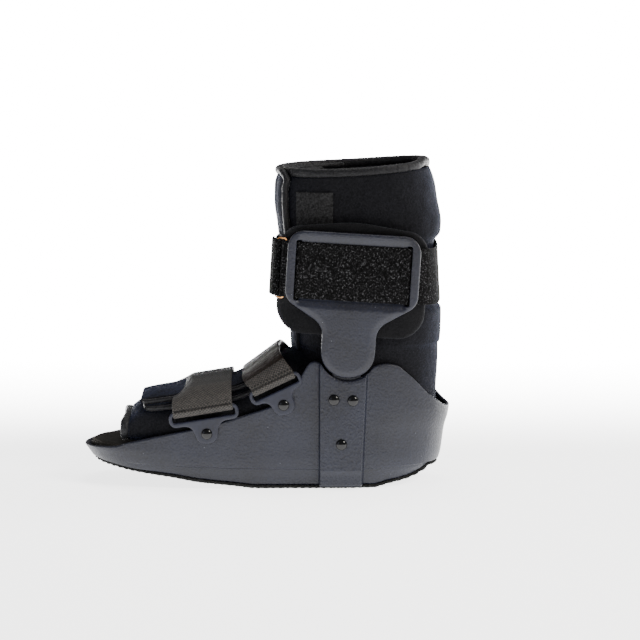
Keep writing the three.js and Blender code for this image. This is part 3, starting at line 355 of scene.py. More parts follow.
def inset(loop, distance, sign):
    """Outline drawn in by a distance, along the sides' mean normal."""
    direction = unit(np.roll(loop, -1, 0) - np.roll(loop, 1, 0))
    return loop + sign * distance * np.stack([-direction[:, 1], direction[:, 0]], 1)


def clockwise(loop):
    on = np.roll(loop, -1, 0)
    return np.sum(loop[:, 0] * on[:, 1] - on[:, 0] * loop[:, 1]) < 0


def level_face(distance):
    """A plate's face that is everywhere at one distance from the boot's middle."""
    return lambda uv: np.full(len(uv), distance)


def plate(outline, holes, front, back, edge, hole_edge, spacing, place):
    """Moulded plate between two faces: front(uv) and back(uv) give their distance from the boot's middle.
    Its edges are quarter rounds, and each face is triangulated between them with a square net of places."""
    loops = [outline[::-1] if clockwise(outline) else outline]
    loops += [hole if clockwise(hole) else hole[::-1] for hole in holes]
    turns = np.linspace(0, math.pi / 2, 5)
    points, faces, count = [], [], 0
    starts = {}
    for face, height, sign in (("front", front, -1), ("back", back, 1)):
        rims = []
        for i, loop in enumerate(loops):
            radius = edge if i == 0 else hole_edge
            rings = [inset(loop, radius * (1 - math.cos(t)), 1) for t in turns]
            depth = [radius * (1 - math.sin(t)) for t in turns]
            block = np.stack([
                np.stack([ring[:, 0], height(ring) + sign * d, ring[:, 1]], 1)
                for ring, d in zip(rings, depth)])
            starts[face, i] = count
            quads = grid(len(turns), len(loop), False, True) + count
            points.append(block.reshape(-1, 3))
            faces.append(quads)
            rims.append((rings[-1], count + (len(turns) - 1) * len(loop)))
            count += block.shape[0] * block.shape[1]
        low, high = rims[0][0].min(0), rims[0][0].max(0)
        axes = [np.arange(low[k] + spacing / 2, high[k], spacing) for k in (0, 1)]
        net = np.stack(np.meshgrid(*axes, indexing="ij"), -1).reshape(-1, 2)
        keep = inside(net, inset(rims[0][0], spacing * 0.4, 1))
        for rim, _ in rims[1:]:
            keep &= ~inside(net, inset(rim, spacing * 0.4, 1))
        net = net[keep]
        flat = np.concatenate([rim for rim, _ in rims] + [net])
        number = np.concatenate([np.arange(len(rim)) + start for rim, start in rims] + [
            np.arange(len(net)) + count])
        points.append(np.stack([net[:, 0], height(net), net[:, 1]], 1))
        count += len(net)
        sides, offset = [], 0
        for rim, _ in rims:
            index = np.arange(len(rim)) + offset
            sides += list(zip(index.tolist(), np.roll(index, -1).tolist()))
            offset += len(rim)
        made = delaunay_2d_cdt([Vector(p) for p in flat.tolist()], sides, [], 0, 1e-7)
        verts, origin, triangles = np.array([list(v) for v in made[0]]), made[3], np.array(made[2])
        middle = verts[triangles].mean(1)
        keep = inside(middle, rims[0][0])
        for rim, _ in rims[1:]:
            keep &= ~inside(middle, rim)
        lookup = np.array([number[source[0]] for source in origin])
        faces.append(lookup[triangles[keep]])
    for i, loop in enumerate(loops):
        a = np.arange(len(loop))
        b = np.roll(a, -1)
        front_start, back_start = starts["front", i], starts["back", i]
        faces.append(np.stack([a + front_start, b + front_start, b + back_start, a + back_start], 1))
    return place(np.concatenate(points)), faces


# Materials

def colour(code):
    """An sRGB hex value as linear light."""
    parts = [int(code[i:i + 2], 16) / 255 for i in (1, 3, 5)]
    return [p / 12.92 if p <= 0.04045 else ((p + 0.055) / 1.055) ** 2.4 for p in parts] + [1.0]


def add(tree, kind, inputs=None, **settings):
    """Adds a node with its settings, and sets or links its inputs."""
    made = tree.nodes.new(kind)
    for name, value in settings.items():
        setattr(made, name, value)
    for name, value in (inputs or {}).items():
        if isinstance(value, bpy.types.NodeSocket):
            tree.links.new(value, made.inputs[name])
        else:
            made.inputs[name].default_value = value
    return made


def material(name, **shader):
    """A new material and its tree, with the shader's uniform values on its own sockets."""
    made = bpy.data.materials.new(name)
    made.use_nodes = True
    tree = made.node_tree
    tree.nodes.clear()
    surface = add(tree, "ShaderNodeBsdfPrincipled", shader)
    output = add(tree, "ShaderNodeOutputMaterial", {"Surface": surface.outputs[0]})
    output.location = (300, 0)
    place = add(tree, "ShaderNodeTexCoord").outputs
    return made, tree, surface, place


def relief(tree, surface, height, depth_mm):
    """Bends the surface's normal as a relief of that depth would."""
    bump = add(tree, "ShaderNodeBump", {"Height": height, "Distance": depth_mm * MM})
    tree.links.new(bump.outputs[0], surface.inputs["Normal"])


def tone(tree, value, stops):
    """Colour ramp of (position, hex) stops over a value."""
    made = add(tree, "ShaderNodeValToRGB", {"Fac": value})
    made.color_ramp.elements[0].position = stops[0][0]
    made.color_ramp.elements[0].color = colour(stops[0][1])
    made.color_ramp.elements[1].position = stops[-1][0]
    made.color_ramp.elements[1].color = colour(stops[-1][1])
    for position, code in stops[1:-1]:
        made.color_ramp.elements.new(position).color = colour(code)
    return made.outputs[0]


def grained_polypropylene(name, dark, light, grain_mm, grain_depth_mm, rough):
    """Injection-moulded polypropylene from an etched mould: a fine matt grain, with slow colour drift, a few
    pale scuffs and specks of dust."""
    made, tree, surface, place = material(name, **{"Roughness": rough, "Specular IOR Level": 0.32})
    where = place["Object"]
    # The grain is drawn coarser than on real plastic, so that it shows at the photograph's scale.
    grain = add(tree, "ShaderNodeTexNoise", {"Vector": where, "Scale": 1000 / grain_mm, "Detail": 2.0})
    drift = add(tree, "ShaderNodeTexNoise", {"Vector": where, "Scale": 1000 / 45, "Detail": 2.0})
    both = add(tree, "ShaderNodeMath", {0: grain.outputs[0], 1: drift.outputs[0]}, operation="ADD")
    half = add(tree, "ShaderNodeMath", {0: both.outputs[0], 1: 0.5}, operation="MULTIPLY")
    body = tone(tree, half.outputs[0], [(0.34, dark), (0.66, light)])
    dust = add(tree, "ShaderNodeTexVoronoi", {"Vector": where, "Scale": 1000 / 9}, feature="F1")
    speck = add(tree, "ShaderNodeMath", {0: dust.outputs["Distance"], 1: 0.045}, operation="LESS_THAN")
    mixed = add(tree, "ShaderNodeMix", {0: speck.outputs[0], 6: body, 7: colour("#45474e")}, data_type="RGBA")
    tree.links.new(mixed.outputs[2], surface.inputs["Base Color"])
    relief(tree, surface, grain.outputs[0], grain_depth_mm)
    return made


def knitted_laminate(name, dark, light, pile_mm, depth_mm, sheen, tint):
    """Brushed knit laminated to foam: a soft nap that scatters light at its edges, with slow unevenness
    where the foam below is pressed."""
    made, tree, surface, place = material(name, **{
        "Roughness": 0.9, "Specular IOR Level": 0.12, "Sheen Weight": sheen, "Sheen Roughness": 0.45,
        "Sheen Tint": colour(tint)})
    where = place["Object"]
    nap = add(tree, "ShaderNodeTexNoise", {
        "Vector": where, "Scale": 1000 / pile_mm, "Detail": 3.0, "Roughness": 0.65})
    tree.links.new(tone(tree, nap.outputs[0], [(0.36, dark), (0.68, light)]), surface.inputs["Base Color"])
    cloud = add(tree, "ShaderNodeTexNoise", {"Vector": where, "Scale": 1000 / 22, "Detail": 2.0})
    depth = add(tree, "ShaderNodeMath", {0: cloud.outputs[0], 1: 4.0}, operation="MULTIPLY")
    height = add(tree, "ShaderNodeMath", {0: nap.outputs[0], 1: depth.outputs[0]}, operation="ADD")
    relief(tree, surface, height.outputs[0], depth_mm)
    return made


def loop_pile(name, tuft_mm, height_mm):
    """Napped loop strap: black nylon loops standing in tufts; the bright glint where each filament turns over
    is a painted highlight in the colour."""
    made, tree, surface, place = material(name, **{
        "Roughness": 0.9, "Specular IOR Level": 0.05})
    where = place["Object"]
    # The tufts are drawn coarser than real ones.
    tuft = add(tree, "ShaderNodeTexNoise", {
        "Vector": where, "Scale": 1000 / tuft_mm, "Detail": 3.0, "Roughness": 0.7})
    # Painted highlight: the tops of the tufts are coloured bright, as glints
    painted_glint = tone(tree, tuft.outputs[0], [
        (0.32, "#020202"), (0.50, "#070707"), (0.57, "#171718"), (0.70, "#4c4c4e")])
    tree.links.new(painted_glint, surface.inputs["Base Color"])
    relief(tree, surface, tuft.outputs[0], height_mm)
    return made


def nylon_webbing(name, dark, light, pitch_mm=1.6):
    """Woven nylon webbing: crossed waves of filament yarn; the light they catch is painted into the colour,
    lighter on the crests and darker in the hollows.
    """
    made, tree, surface, place = material(name, **{
        "Roughness": 0.62, "Specular IOR Level": 0.3, "Sheen Weight": 0.05, "Sheen Roughness": 0.5})
    # The weave is drawn coarser than real webbing, so that it shows.
    across = add(tree, "ShaderNodeSeparateXYZ", {0: place["UV"]}).outputs
    waves = []
    for axis, pitch in ((0, pitch_mm), (1, pitch_mm * 1.3)):
        turned = add(tree, "ShaderNodeMath", {0: across[axis], 1: TURN * 1000 / pitch}, operation="MULTIPLY")
        waves.append(add(tree, "ShaderNodeMath", {0: turned.outputs[0]}, operation="SINE").outputs[0])
    weave = add(tree, "ShaderNodeMath", {0: waves[0], 1: waves[1]}, operation="MULTIPLY")
    noise = add(tree, "ShaderNodeTexNoise", {
        "Vector": place["Object"], "Scale": 1000 / 1.4, "Detail": 2.0})
    lift = add(tree, "ShaderNodeMath", {0: weave.outputs[0], 1: 0.4, 2: noise.outputs[0]},
               operation="MULTIPLY_ADD")
    # Painted light and shade: the weave's crests are coloured lighter and its hollows darker, with random
    # tone from the noise
    tree.links.new(tone(tree, lift.outputs[0], [(0.2, dark), (0.85, light)]), surface.inputs["Base Color"])
    relief(tree, surface, lift.outputs[0], 0.5)
    return made


def folded_tape(name, dark, light, sheen):
    """Elastic binding tape: a smooth nylon knit folded over the cut edge, with puckers across it where the
    seam draws it in."""
    made, tree, surface, place = material(name, **{
        "Roughness": 0.5, "Specular IOR Level": 0.16, "Sheen Weight": sheen, "Sheen Roughness": 0.3})
    fine = add(tree, "ShaderNodeTexNoise", {
        "Vector": place["Object"], "Scale": 1000 / 1.3, "Detail": 2.0, "Roughness": 0.6})
    tree.links.new(tone(tree, fine.outputs[0], [(0.35, dark), (0.7, light)]), surface.inputs["Base Color"])
    slow = add(tree, "ShaderNodeTexNoise", {"Vector": place["Object"], "Scale": 1000 / 6, "Detail": 1.0})
    lift = add(tree, "ShaderNodeMath", {0: slow.outputs[0], 1: 3.0, 2: fine.outputs[0]},
               operation="MULTIPLY_ADD")
    relief(tree, surface, lift.outputs[0], 0.35)
    return made


def lacquered_steel(name):
    """Steel rivet with stove-enamelled black lacquer: smooth, under a clear gloss."""
    made, tree, surface, place = material(name, **{
        "Base Color": colour("#030304"), "Roughness": 0.12, "Specular IOR Level": 0.32})
    wear = add(tree, "ShaderNodeTexNoise", {"Vector": place["Object"], "Scale": 1000 / 3, "Detail": 3.0})
    rough = add(tree, "ShaderNodeMapRange", {0: wear.outputs[0], 3: 0.08, 4: 0.2})
    tree.links.new(rough.outputs[0], surface.inputs["Roughness"])
    return made


def copper_plated_wire(name):
    """Bent steel wire with a copper-coloured plating, drawn and tumbled bright."""
    made, tree, surface, place = material(name, **{"Metallic": 1.0, "Roughness": 0.28})
    dull = add(tree, "ShaderNodeTexNoise", {"Vector": place["Object"], "Scale": 1000 / 4, "Detail": 2.0})
    copper = tone(tree, dull.outputs[0], [(0.3, "#c9824a"), (0.7, "#f0b882")])
    tree.links.new(copper, surface.inputs["Base Color"])
    return made


def moulded_rubber(name):
    """Vulcanised sole rubber: dull and rough, with a torn edge and grit."""
    made, tree, surface, place = material(name, **{"Roughness": 0.9, "Specular IOR Level": 0.3})
    crumb = add(tree, "ShaderNodeTexNoise", {"Vector": place["Object"], "Scale": 1000 / 1.6, "Detail": 4.0})
    shade = tone(tree, crumb.outputs[0], [(0.3, "#030303"), (0.6, "#0c0c0c"), (0.72, "#38383a")])
    tree.links.new(shade, surface.inputs["Base Color"])
    relief(tree, surface, crumb.outputs[0], 0.8)
    return made


def white_paper(name):
    """Seamless white studio paper that glows: painted light, an emission that grows stronger away from the
    boot and stands in for the overexposure of lamps behind.
    """
    made, tree, surface, place = material(name, **{"Base Color": colour("#f4f4f4"), "Roughness": 0.9})
    surface.inputs["Emission Color"].default_value = (1, 1, 1, 1)
    across = add(tree, "ShaderNodeSeparateXYZ", {0: place["Object"]})
    # Glow behind the boot: it starts 0.1 m behind the middle and is full at 0.8 m
    far = add(tree, "ShaderNodeMapRange", {0: across.outputs[1], 1: 0.1, 2: 0.8, 3: 0.0, 4: 14.0},
              interpolation_type="SMOOTHSTEP")
    # Weaker glow round the boot, which ends in front so that the near side mirrors little of it
    near = add(tree, "ShaderNodeMapRange", {0: across.outputs[1], 1: -0.8, 2: -0.62, 3: 0.0, 4: 2.9},
               interpolation_type="SMOOTHSTEP")
    # The floor's glow is painted light, an emission rather than a lamp
    lit = add(tree, "ShaderNodeMath", {0: far.outputs[0], 1: near.outputs[0]}, operation="ADD")
    tree.links.new(lit.outputs[0], surface.inputs["Emission Strength"])
    return made


PLASTIC = grained_polypropylene("polypropylene_etched_grain", "#070811", "#161926", 1.6, 0.4, 0.42)
RING_PLASTIC = grained_polypropylene("polypropylene_satin", "#0d0f1a", "#161928", 2.6, 0.03, 0.40)
CLOTH = knitted_laminate("brushed_loop_knit", "#050506", "#131316", 1.5, 0.8, 0.14, "#6c7cb0")
PAD_CLOTH = knitted_laminate("pad_knit", "#050506", "#0f0f11", 1.3, 0.5, 0.08, "#9aa0b0")
TAPE = folded_tape("binding_tape_nylon", "#060607", "#1c1c1f", 0.12)
TOE_TAPE = folded_tape("binding_tape_brushed", "#09090b", "#1d1e21", 0.15)
WEBBING = nylon_webbing("webbing_nylon_woven", "#050505", "#393531", 2.1)
# Painted shade: the forefoot strap's lower band is the same webbing made darker, for the shaded fold at its
# top
SHADED_BAND = nylon_webbing("webbing_nylon_painted_shade", "#040404", "#141210", 1.4)
BROWN_TAPE = folded_tape("webbing_back_coated", "#0f0a07", "#1f1611", 0.03)
THREAD = folded_tape("thread_polyester", "#070707", "#1f1e1d", 0.1)
PILE = loop_pile("loop_pile_napped", 1.5, 1.6)
HOOK = knitted_laminate("hook_tape_nylon", "#0c0c0c", "#2b2b2c", 1.6, 0.7, 0.03, "#b0b0b0")
FOAM_TOP = knitted_laminate("insole_covered_foam", "#14130f", "#24221f", 1.4, 0.3, 0.12, "#c0bab0")
RIVET = lacquered_steel("steel_stove_enamelled")
WIRE = copper_plated_wire("steel_wire_copper_plated")
SOLE = moulded_rubber("rubber_vulcanised")
PAPER = white_paper("studio_paper")


# Shell, outsole and insole

PLAN = [(0, 0), (0.012, 0.30), (0.04, 0.55), (0.10, 0.79), (0.18, 0.93), (0.28, 0.985), (0.38, 0.99),
        (0.50, 0.972), (0.62, 0.962), (0.72, 0.960), (0.81, 0.92), (0.89, 0.80), (0.95, 0.61), (0.986, 0.34),
        (1, 0)]
LEVELS = [
    {"z": -4.0, "toe": 33.9, "heel": 29.0, "wide": 0.930},
    {"z": 10.8, "toe": 23.1, "heel": 16.6, "wide": 0.944},
    {"z": 16.8, "toe": 12.3, "heel": 10.2, "wide": 0.963},
    {"z": 27.0, "toe": 3.7, "heel": 7.1, "wide": 0.975},
    {"z": 33.5, "toe": 0.0, "heel": 6.2, "wide": 0.977},
    {"z": 46.4, "toe": 0.0, "heel": 4.3, "wide": 0.982},
    {"z": 57.2, "toe": 0.0, "heel": 1.2, "wide": 0.988},
    {"z": 67.0, "toe": 0.0, "heel": 0.0, "wide": 0.992},
    {"z": 113.0, "toe": 0.0, "heel": 0.0, "wide": 1.000},
]
RIM = [(-160, 31.5), (-154, 31.7), (-136.7, 33.6), (-126.1, 34.8), (-114.7, 38.6), (-98.8, 42.5),
       (-77.7, 47.3), (-62.8, 50.6), (-24.7, 60.4), (-12.1, 64.4), (3.6, 69.8), (16.1, 77.6), (22, 84.5),
       (28.6, 94.4), (35.8, 105.6), (38.6, 107.6), (41.4, 108.1), (44.0, 107.2), (50, 103), (84, 97.6),
       (89, 102.9), (97.9, 105.4), (107.9, 104.1), (116.9, 97.5), (126.9, 87.8), (135.1, 78.8),
       (143.0, 72.6), (151, 66), (160, 63.5)]
ROCKER = [(-158.6, 20.7), (-144.9, 18.6), (-129.1, 16.2), (-110, 12.9), (-77.9, 8.9), (-57, 5.4), (-25, 2.0),
          (-6.2, 0), (89.9, 0), (100.1, 2.2), (120.9, 6.3), (130.9, 10.5), (137.1, 14.6), (158.6, 17.3)]
PLAN_ANGLE = np.arccos(1 - 2 * np.array([p[0] for p in PLAN]))
PLAN_WIDE = [p[1] for p in PLAN]


def rim_height(x):
    """Height of the rim: a smooth table, cut by the round notch below the stem, with eased corners."""
    edge = curve(x, *zip(*RIM))
    cx, cz, radius = NOTCH
    reach = np.clip(1 - ((x - cx) / radius) ** 2, 0, 1)
    notch = np.where(reach > 0, cz - radius * np.sqrt(reach), 1e3)
    blend = 1.2
    gap = np.clip((notch - edge) / blend, -1, 1)
    least = np.minimum(edge, notch)
    eased = (edge + notch) / 2 - blend / 4 * (1 + gap ** 2)
    return np.minimum(np.where(np.abs(notch - edge) < blend, eased, least), least)


def wall_base(column, z):
    """Place along the boot and half width of the bare wall. Columns keep their place in the middle of the
    boot and are drawn in towards the toe and the heel, and the width is the plan's at that level."""
    level = table(LEVELS, "z", z)
    start = -HALF_LENGTH * np.cos(column)
    toeward = np.clip((-start / HALF_LENGTH - 0.4) / 0.6, 0, 1) ** 1.5
    heelward = np.clip((start / HALF_LENGTH - 0.58) / 0.42, 0, 1) ** 1.5
    x = start + level["toe"] * toeward - level["heel"] * heelward
    along = (x + HALF_LENGTH - level["toe"]) / (LENGTH - level["toe"] - level["heel"])
    angle = np.arccos(np.clip(1 - 2 * along, -1, 1))
    return x, HALF_WIDTH * level["wide"] * curve(angle, PLAN_ANGLE, PLAN_WIDE)


def wall_normal(column):
    """Direction out of the wall in plan, from the difference between neighbouring columns."""
    x, y = wall_base(column, np.full(len(column), 60.0))
    dx, dy = np.gradient(x), np.gradient(y)
    dx[0] = dx[-1] = 0.0
    length = np.hypot(dx, dy)
    return -dy / length, dx / length


def ledge_height(x):
    return LEDGE + LEDGE_RISE * ((x - CHANNEL_FRONT) / (HALF_LENGTH * 0.93)) ** 2


def shell_outside(column, z, normal):
    x, y = wall_base(column, z)
    below = 1 - ramp(z, ledge_height(x) - 0.5, ledge_height(x) + 0.5)
    fade = ramp(x, -118, -92)
    band = 2.4 * below * fade
    x, y = x - band * normal[0], y - band * normal[1]
    back = CHANNEL_BACK_SOLE + (CHANNEL_BACK_TOP - CHANNEL_BACK_SOLE) * (z - 4.7) / 92.3
    raised = ramp(x, CHANNEL_FRONT - 0.6, CHANNEL_FRONT + 1.2) * (1 - ramp(x, back - 1.0, back + 1.6))
    face = CHANNEL_FACE - 0.9 * (1 - ramp(z, 14.6, 16.4))
    crown = 0.5 * ((x - (CHANNEL_FRONT + back) / 2) / 20) ** 2
    return x, y + (face - crown - y) * raised


def shell_inside(column, z, normal):
    x, y = wall_base(column, z)
    x, y = x - WALL * normal[0], y - WALL * normal[1]
    raised = ramp(x, CHANNEL_FRONT + 2.2, CHANNEL_FRONT + 4) * (1 - ramp(x, 77.5, 79.5))
    return x, np.maximum(y + (CHANNEL_FACE - CHANNEL_WALL - y) * raised, 0)


def shell_columns():
    even = np.linspace(0, math.pi, 150)
    places = np.concatenate([
        np.arange(CHANNEL_FRONT - 1.5, CHANNEL_FRONT + 2.5, 0.22),
        np.arange(CHANNEL_FRONT + 2.5, CHANNEL_BACK_SOLE - 2, 1.0),
        np.arange(CHANNEL_BACK_SOLE - 2, CHANNEL_BACK_TOP + 3, 0.35),
        np.arange(CHANNEL_BACK_TOP + 3, 96, 0.8),
    ])
    close = np.arccos(-places / HALF_LENGTH)
    keep = (even < close.min() - 0.004) | (even > close.max() + 0.004)
    return np.sort(np.concatenate([even[keep], close]))


def shell():
    """Moulded shell: for each column round the wall, a profile from the middle of its underside out to the
    wall, up to the rim, over the rounded lip, down the inside and across the floor."""
    column = shell_columns()
    normal = wall_normal(column)
    x0 = -HALF_LENGTH * np.cos(column)
    bottom = curve(x0, *zip(*ROCKER)) + RUBBER + GAP
    for _ in range(3):
        x, _ = wall_base(column, bottom)
        bottom = curve(x, *zip(*ROCKER)) + RUBBER + GAP
    rim = rim_height(wall_base(column, rim_height(x0))[0])
    lip = WALL / 2
    ledge = np.clip(ledge_height(x), bottom + 3.0, rim - 6)
    rows, mixes = [], []
    # Wall from the bottom edge to the ledge and on to the lip
    for share in (0.0, 0.12, 0.35, 0.7):
        rows.append(bottom + (ledge - 1.5 - bottom) * share)
        mixes.append(0.0)
    for step in (-1.5, -0.9, -0.5, -0.3, -0.1, 0.1, 0.3, 0.5, 0.9, 1.5, 2.4):
        rows.append(ledge + step)
        mixes.append(0.0)
    for share in np.linspace(0, 1, 30)[1:]:
        rows.append(ledge + 2.4 + (rim - lip - ledge - 2.4) * share)
        mixes.append(0.0)
    for turn in np.linspace(0, math.pi, 11)[1:]:
        rows.append(rim - lip + lip * math.sin(turn))
        mixes.append((1 - math.cos(turn)) / 2)
    floor = np.interp(x0, [-143.2, -20], [FLOOR_TOE, FLOOR_HEEL])
    for share in np.linspace(0, 1, 12)[1:]:
        rows.append(rim - lip + (floor - rim + lip) * share)
        mixes.append(1.0)
    z = np.stack(rows)
    mix = np.array(mixes)[:, None]
    out_x, out_y = shell_outside(column[None], z, normal)
    in_x, in_y = shell_inside(column[None], z, normal)
    points = np.stack([out_x + (in_x - out_x) * mix, out_y + (in_y - out_y) * mix, z], -1)
    under = points[0] * np.array([1, 0, 1])
    across = points[-1] * np.array([1, 0, 1])
    points = np.concatenate([under[None], points, across[None]])
    points[:, [0, -1], 1] = 0
    piece = build("shell_moulded", both_halves(points), PLASTIC, "shell_plastic", merge=0.02)
    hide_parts("shell")


def tread(x, y):
    """Depth of the sole's tread: ribs across the sole, 6 mm apart, bent to a shallow chevron."""
    rib = np.cos((x + 0.25 * np.abs(y)) * TURN / 6.0)
    return 1.1 * ramp(rib, -0.4, 0.2)


def outsole():
    """Rubber sheet under the shell: ribbed below, with a rough torn edge."""
    column = np.linspace(0, math.pi, 520)
    normal = wall_normal(column)
    x0 = -HALF_LENGTH * np.cos(column)
    low = curve(x0, *zip(*ROCKER))
    for _ in range(3):
        edge_x, edge_y = wall_base(column, low + 1)
        low = curve(edge_x, *zip(*ROCKER))
    rough = random.normal(size=(3, len(column)))
    rows = []
    for share in np.linspace(0, 1, 46) ** 0.8:
        x, y = edge_x, (edge_y - 2.2) * share
        rows.append(np.stack([x, y, low + 1.1 - tread(x, y) * (1 if share < 0.99 else 0.6)], -1))
    for k, (out, up) in enumerate(((-0.6, 0.5), (0.1, 1.2), (0.0, 2.2))):
        out = out - 0.8 + 0.45 * rough[k]
        rows.append(np.stack([edge_x + out * normal[0], edge_y + out * normal[1], low + up], -1))
    rows.append(np.stack([edge_x - 1.2 * normal[0], edge_y - 1.2 * normal[1], low + RUBBER], -1))
    rows.append(np.stack([edge_x, 0 * edge_y, low + RUBBER], -1))
    points = np.stack(rows)
    points[..., 1] = np.maximum(points[..., 1], 0)
    points[:, [0, -1], 1] = 0
    points[..., 2] = np.maximum(points[..., 2], 0)
    piece = build("outsole_tread", both_halves(points), SOLE, "sole_rubber", merge=0.01)
    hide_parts("outsole")


def insole():
    """Covered foam footbed, dished a little, with a soft round edge that stands clear of the shell."""
    column = np.linspace(0, math.pi, 160)
    normal = wall_normal(column)
    x0 = -HALF_LENGTH * np.cos(column)
    share = np.clip((x0 + 143.2) / 123.2, 0, 1)
    low = FLOOR_TOE + (FLOOR_HEEL - FLOOR_TOE) * share + GAP
    high = FLOOR_TOE + INSOLE_TOE + (FLOOR_HEEL + INSOLE_HEEL - FLOOR_TOE - INSOLE_TOE) * share
    x, y = wall_base(column, low + 2)
    rows = []
    profile = ((-30, 0), (-6, 0), (-3, 0), (0, 0.25), (0, 0.6),
               (-1.0, 0.88), (-2.8, 1.0), (-8, 1.0), (-20, 0.97))
    for out, up in profile:
        by = out - WALL - 1.2
        rows.append(np.stack([x + by * normal[0], y + by * normal[1], low + (high - low) * up], -1))
    rows.insert(0, rows[0] * np.array([1, 0, 1]))
    rows.append(rows[-1] * np.array([1, 0, 1]))
    points = np.stack(rows)
    points[..., 1] = np.maximum(points[..., 1], 0)
    points[:, [0, -1], 1] = 0
    piece = build("insole_footbed", both_halves(points), FOAM_TOP, "insole_foam", merge=0.01)
    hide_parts("insole")


# Soft boot

LEG = [
    {"z": 110.0, "front": 24.5, "back": 144.0, "wide": 46.5, "round": 2.4},
    {"z": 129.0, "front": 23.6, "back": 146.4, "wide": 47.0, "round": 2.7},
    {"z": 145.0, "front": 22.0, "back": 146.6, "wide": 47.6, "round": 2.9},
    {"z": 153.0, "front": 20.0, "back": 140.2, "wide": 48.5, "round": 3.0},
    {"z": 178.0, "front": 17.0, "back": 139.6, "wide": 49.0, "round": 3.0},
    {"z": 203.0, "front": 15.2, "back": 140.4, "wide": 49.5, "round": 3.0},
    {"z": 211.0, "front": 14.0, "back": 145.6, "wide": 49.5, "round": 3.0},
    {"z": 219.0, "front": 13.2, "back": 146.3, "wide": 49.4, "round": 2.9},
    {"z": 237.0, "front": 11.2, "back": 143.0, "wide": 48.4, "round": 2.7},
    {"z": 250.0, "front": 11.4, "back": 139.6, "wide": 46.6, "round": 2.6},
    {"z": 258.5, "front": 13.6, "back": 135.6, "wide": 44.8, "round": 2.6},
]
FOOT = [
    {"x": -115.0, "low": 36.1, "high": 60.8, "wide": 39.2},
    {"x": -110.0, "low": 35.6, "high": 64.6, "wide": 41.4},
    {"x": -104.7, "low": 35.1, "high": 67.2, "wide": 42.8},
    {"x": -77.0, "low": 32.7, "high": 72.6, "wide": 47.3},
    {"x": -57.0, "low": 30.9, "high": 76.8, "wide": 48.5},
    {"x": -27.0, "low": 29.1, "high": 81.3, "wide": 47.9},
    {"x": -4.6, "low": 28.6, "high": 93.0, "wide": 47.3},
    {"x": 10.8, "low": 28.6, "high": 106.5, "wide": 46.9},
    {"x": 22.0, "low": 28.6, "high": 111.5, "wide": 46.8},
]
ANKLE = [
    {"turn": 0, "near": 6.5, "far": 89.4, "wide": 46.8, "round": 2.7},
    {"turn": 20, "near": 5.8, "far": 95.0, "wide": 46.4, "round": 2.6},
    {"turn": 40, "near": 4.8, "far": 116.0, "wide": 45.6, "round": 2.5},
    {"turn": 52, "near": 5.0, "far": 131.0, "wide": 45.0, "round": 2.4},
    {"turn": 62, "near": 4.0, "far": 133.0, "wide": 45.0, "round": 2.3},
    {"turn": 72, "near": 3.4, "far": 126.5, "wide": 45.4, "round": 2.3},
    {"turn": 82, "near": 2.8, "far": 123.0, "wide": 46.0, "round": 2.4},
    {"turn": 90, "near": 2.4, "far": 122.0, "wide": 46.5, "round": 2.4},
]
ANKLE_X = 22.0
ANKLE_Z = 118.0
TOP_RISE = 7.0
TOE_LEAN = 2.5


def top_rise(x, z):
    """The top edge climbs towards the calf, and the cloth below it follows."""
    share = ramp(z, 235.0, LEG_HEIGHT)
    return TOP_RISE * share * np.clip((x - 13.6) / 123.0, 0, 1.2) ** 2


def leg_place(z, bearing, offset=0.0):
    """A place on the leg: a superellipse round it at height z. Bearing 180 is the shin, 270 the near side."""
    row = table(LEG, "z", z)
    front, back, wide = row["front"] - offset, row["back"] + offset, row["wide"] + offset
    turn = np.radians(bearing)
    x = (front + back) / 2 + (back - front) / 2 * power(np.cos(turn), 2 / row["round"])
    y = wide * power(np.sin(turn), 2 / row["round"])
    return np.stack(np.broadcast_arrays(x, y, z + top_rise(x, z)), -1)


def foot_place(x, bearing, offset=0.0):
    """A place on the foot: a superellipse round it at length x. Bearing 0 is the instep, 90 the far side.
    The open toe's edge leans back at its top."""
    row = table(FOOT, "x", x)
    low, high, wide = row["low"] - offset, row["high"] + offset, row["wide"] + offset
    turn = np.radians(bearing)
    up = power(np.cos(turn), 2 / FOOT_ROUND)
    lean = TOE_LEAN * np.clip(1 - (x + 115) / 25, 0, 1) * np.clip(up, 0, 1) ** 3
    y = wide * power(np.sin(turn), 2 / FOOT_ROUND)
    return np.stack(np.broadcast_arrays(x + lean, y, (low + high) / 2 + (high - low) / 2 * up), -1)


def ankle_place(turn, bearing, offset=0.0):
    """A place on the ankle: a superellipse in a plane that turns about a line in front of the ankle, from
    upright across the foot to level across the leg."""
    row = table(ANKLE, "turn", turn)
    near, far, wide = row["near"] - offset, row["far"] + offset, row["wide"] + offset
    angle = np.radians(bearing)
    out = (near + far) / 2 - (far - near) / 2 * power(np.cos(angle), 2 / row["round"])
    y = wide * power(np.sin(angle), 2 / row["round"])
    down = np.radians(turn)
    return np.stack(np.broadcast_arrays(ANKLE_X + out * np.sin(down), y, ANKLE_Z - out * np.cos(down)), -1)


def normals(points, loop_columns=False):
    """Outward direction of a grid of places, from the cross product of its two directions."""
    along = np.gradient(points, axis=0)
    if loop_columns:
        across = np.roll(points, -1, 1) - np.roll(points, 1, 1)
    else:
        across = np.gradient(points, axis=1)
    return unit(np.cross(across, along))


def sock(offset, columns):
    """Rows of places from the open toe round the ankle to the top of the leg, all offset by the same."""
    round_foot = np.linspace(0, 360, columns, endpoint=False)
    foot = [foot_place(np.float64(x), round_foot, offset) for x in np.linspace(-115, 21, 60)]
    ankle = [ankle_place(np.float64(t), round_foot, offset) for t in np.linspace(0, 90, 46)]
    leg = [leg_place(np.float64(z), 180 - round_foot, offset) for z in np.linspace(119, LEG_HEIGHT, 86)]
    return np.stack(foot + ankle + leg)


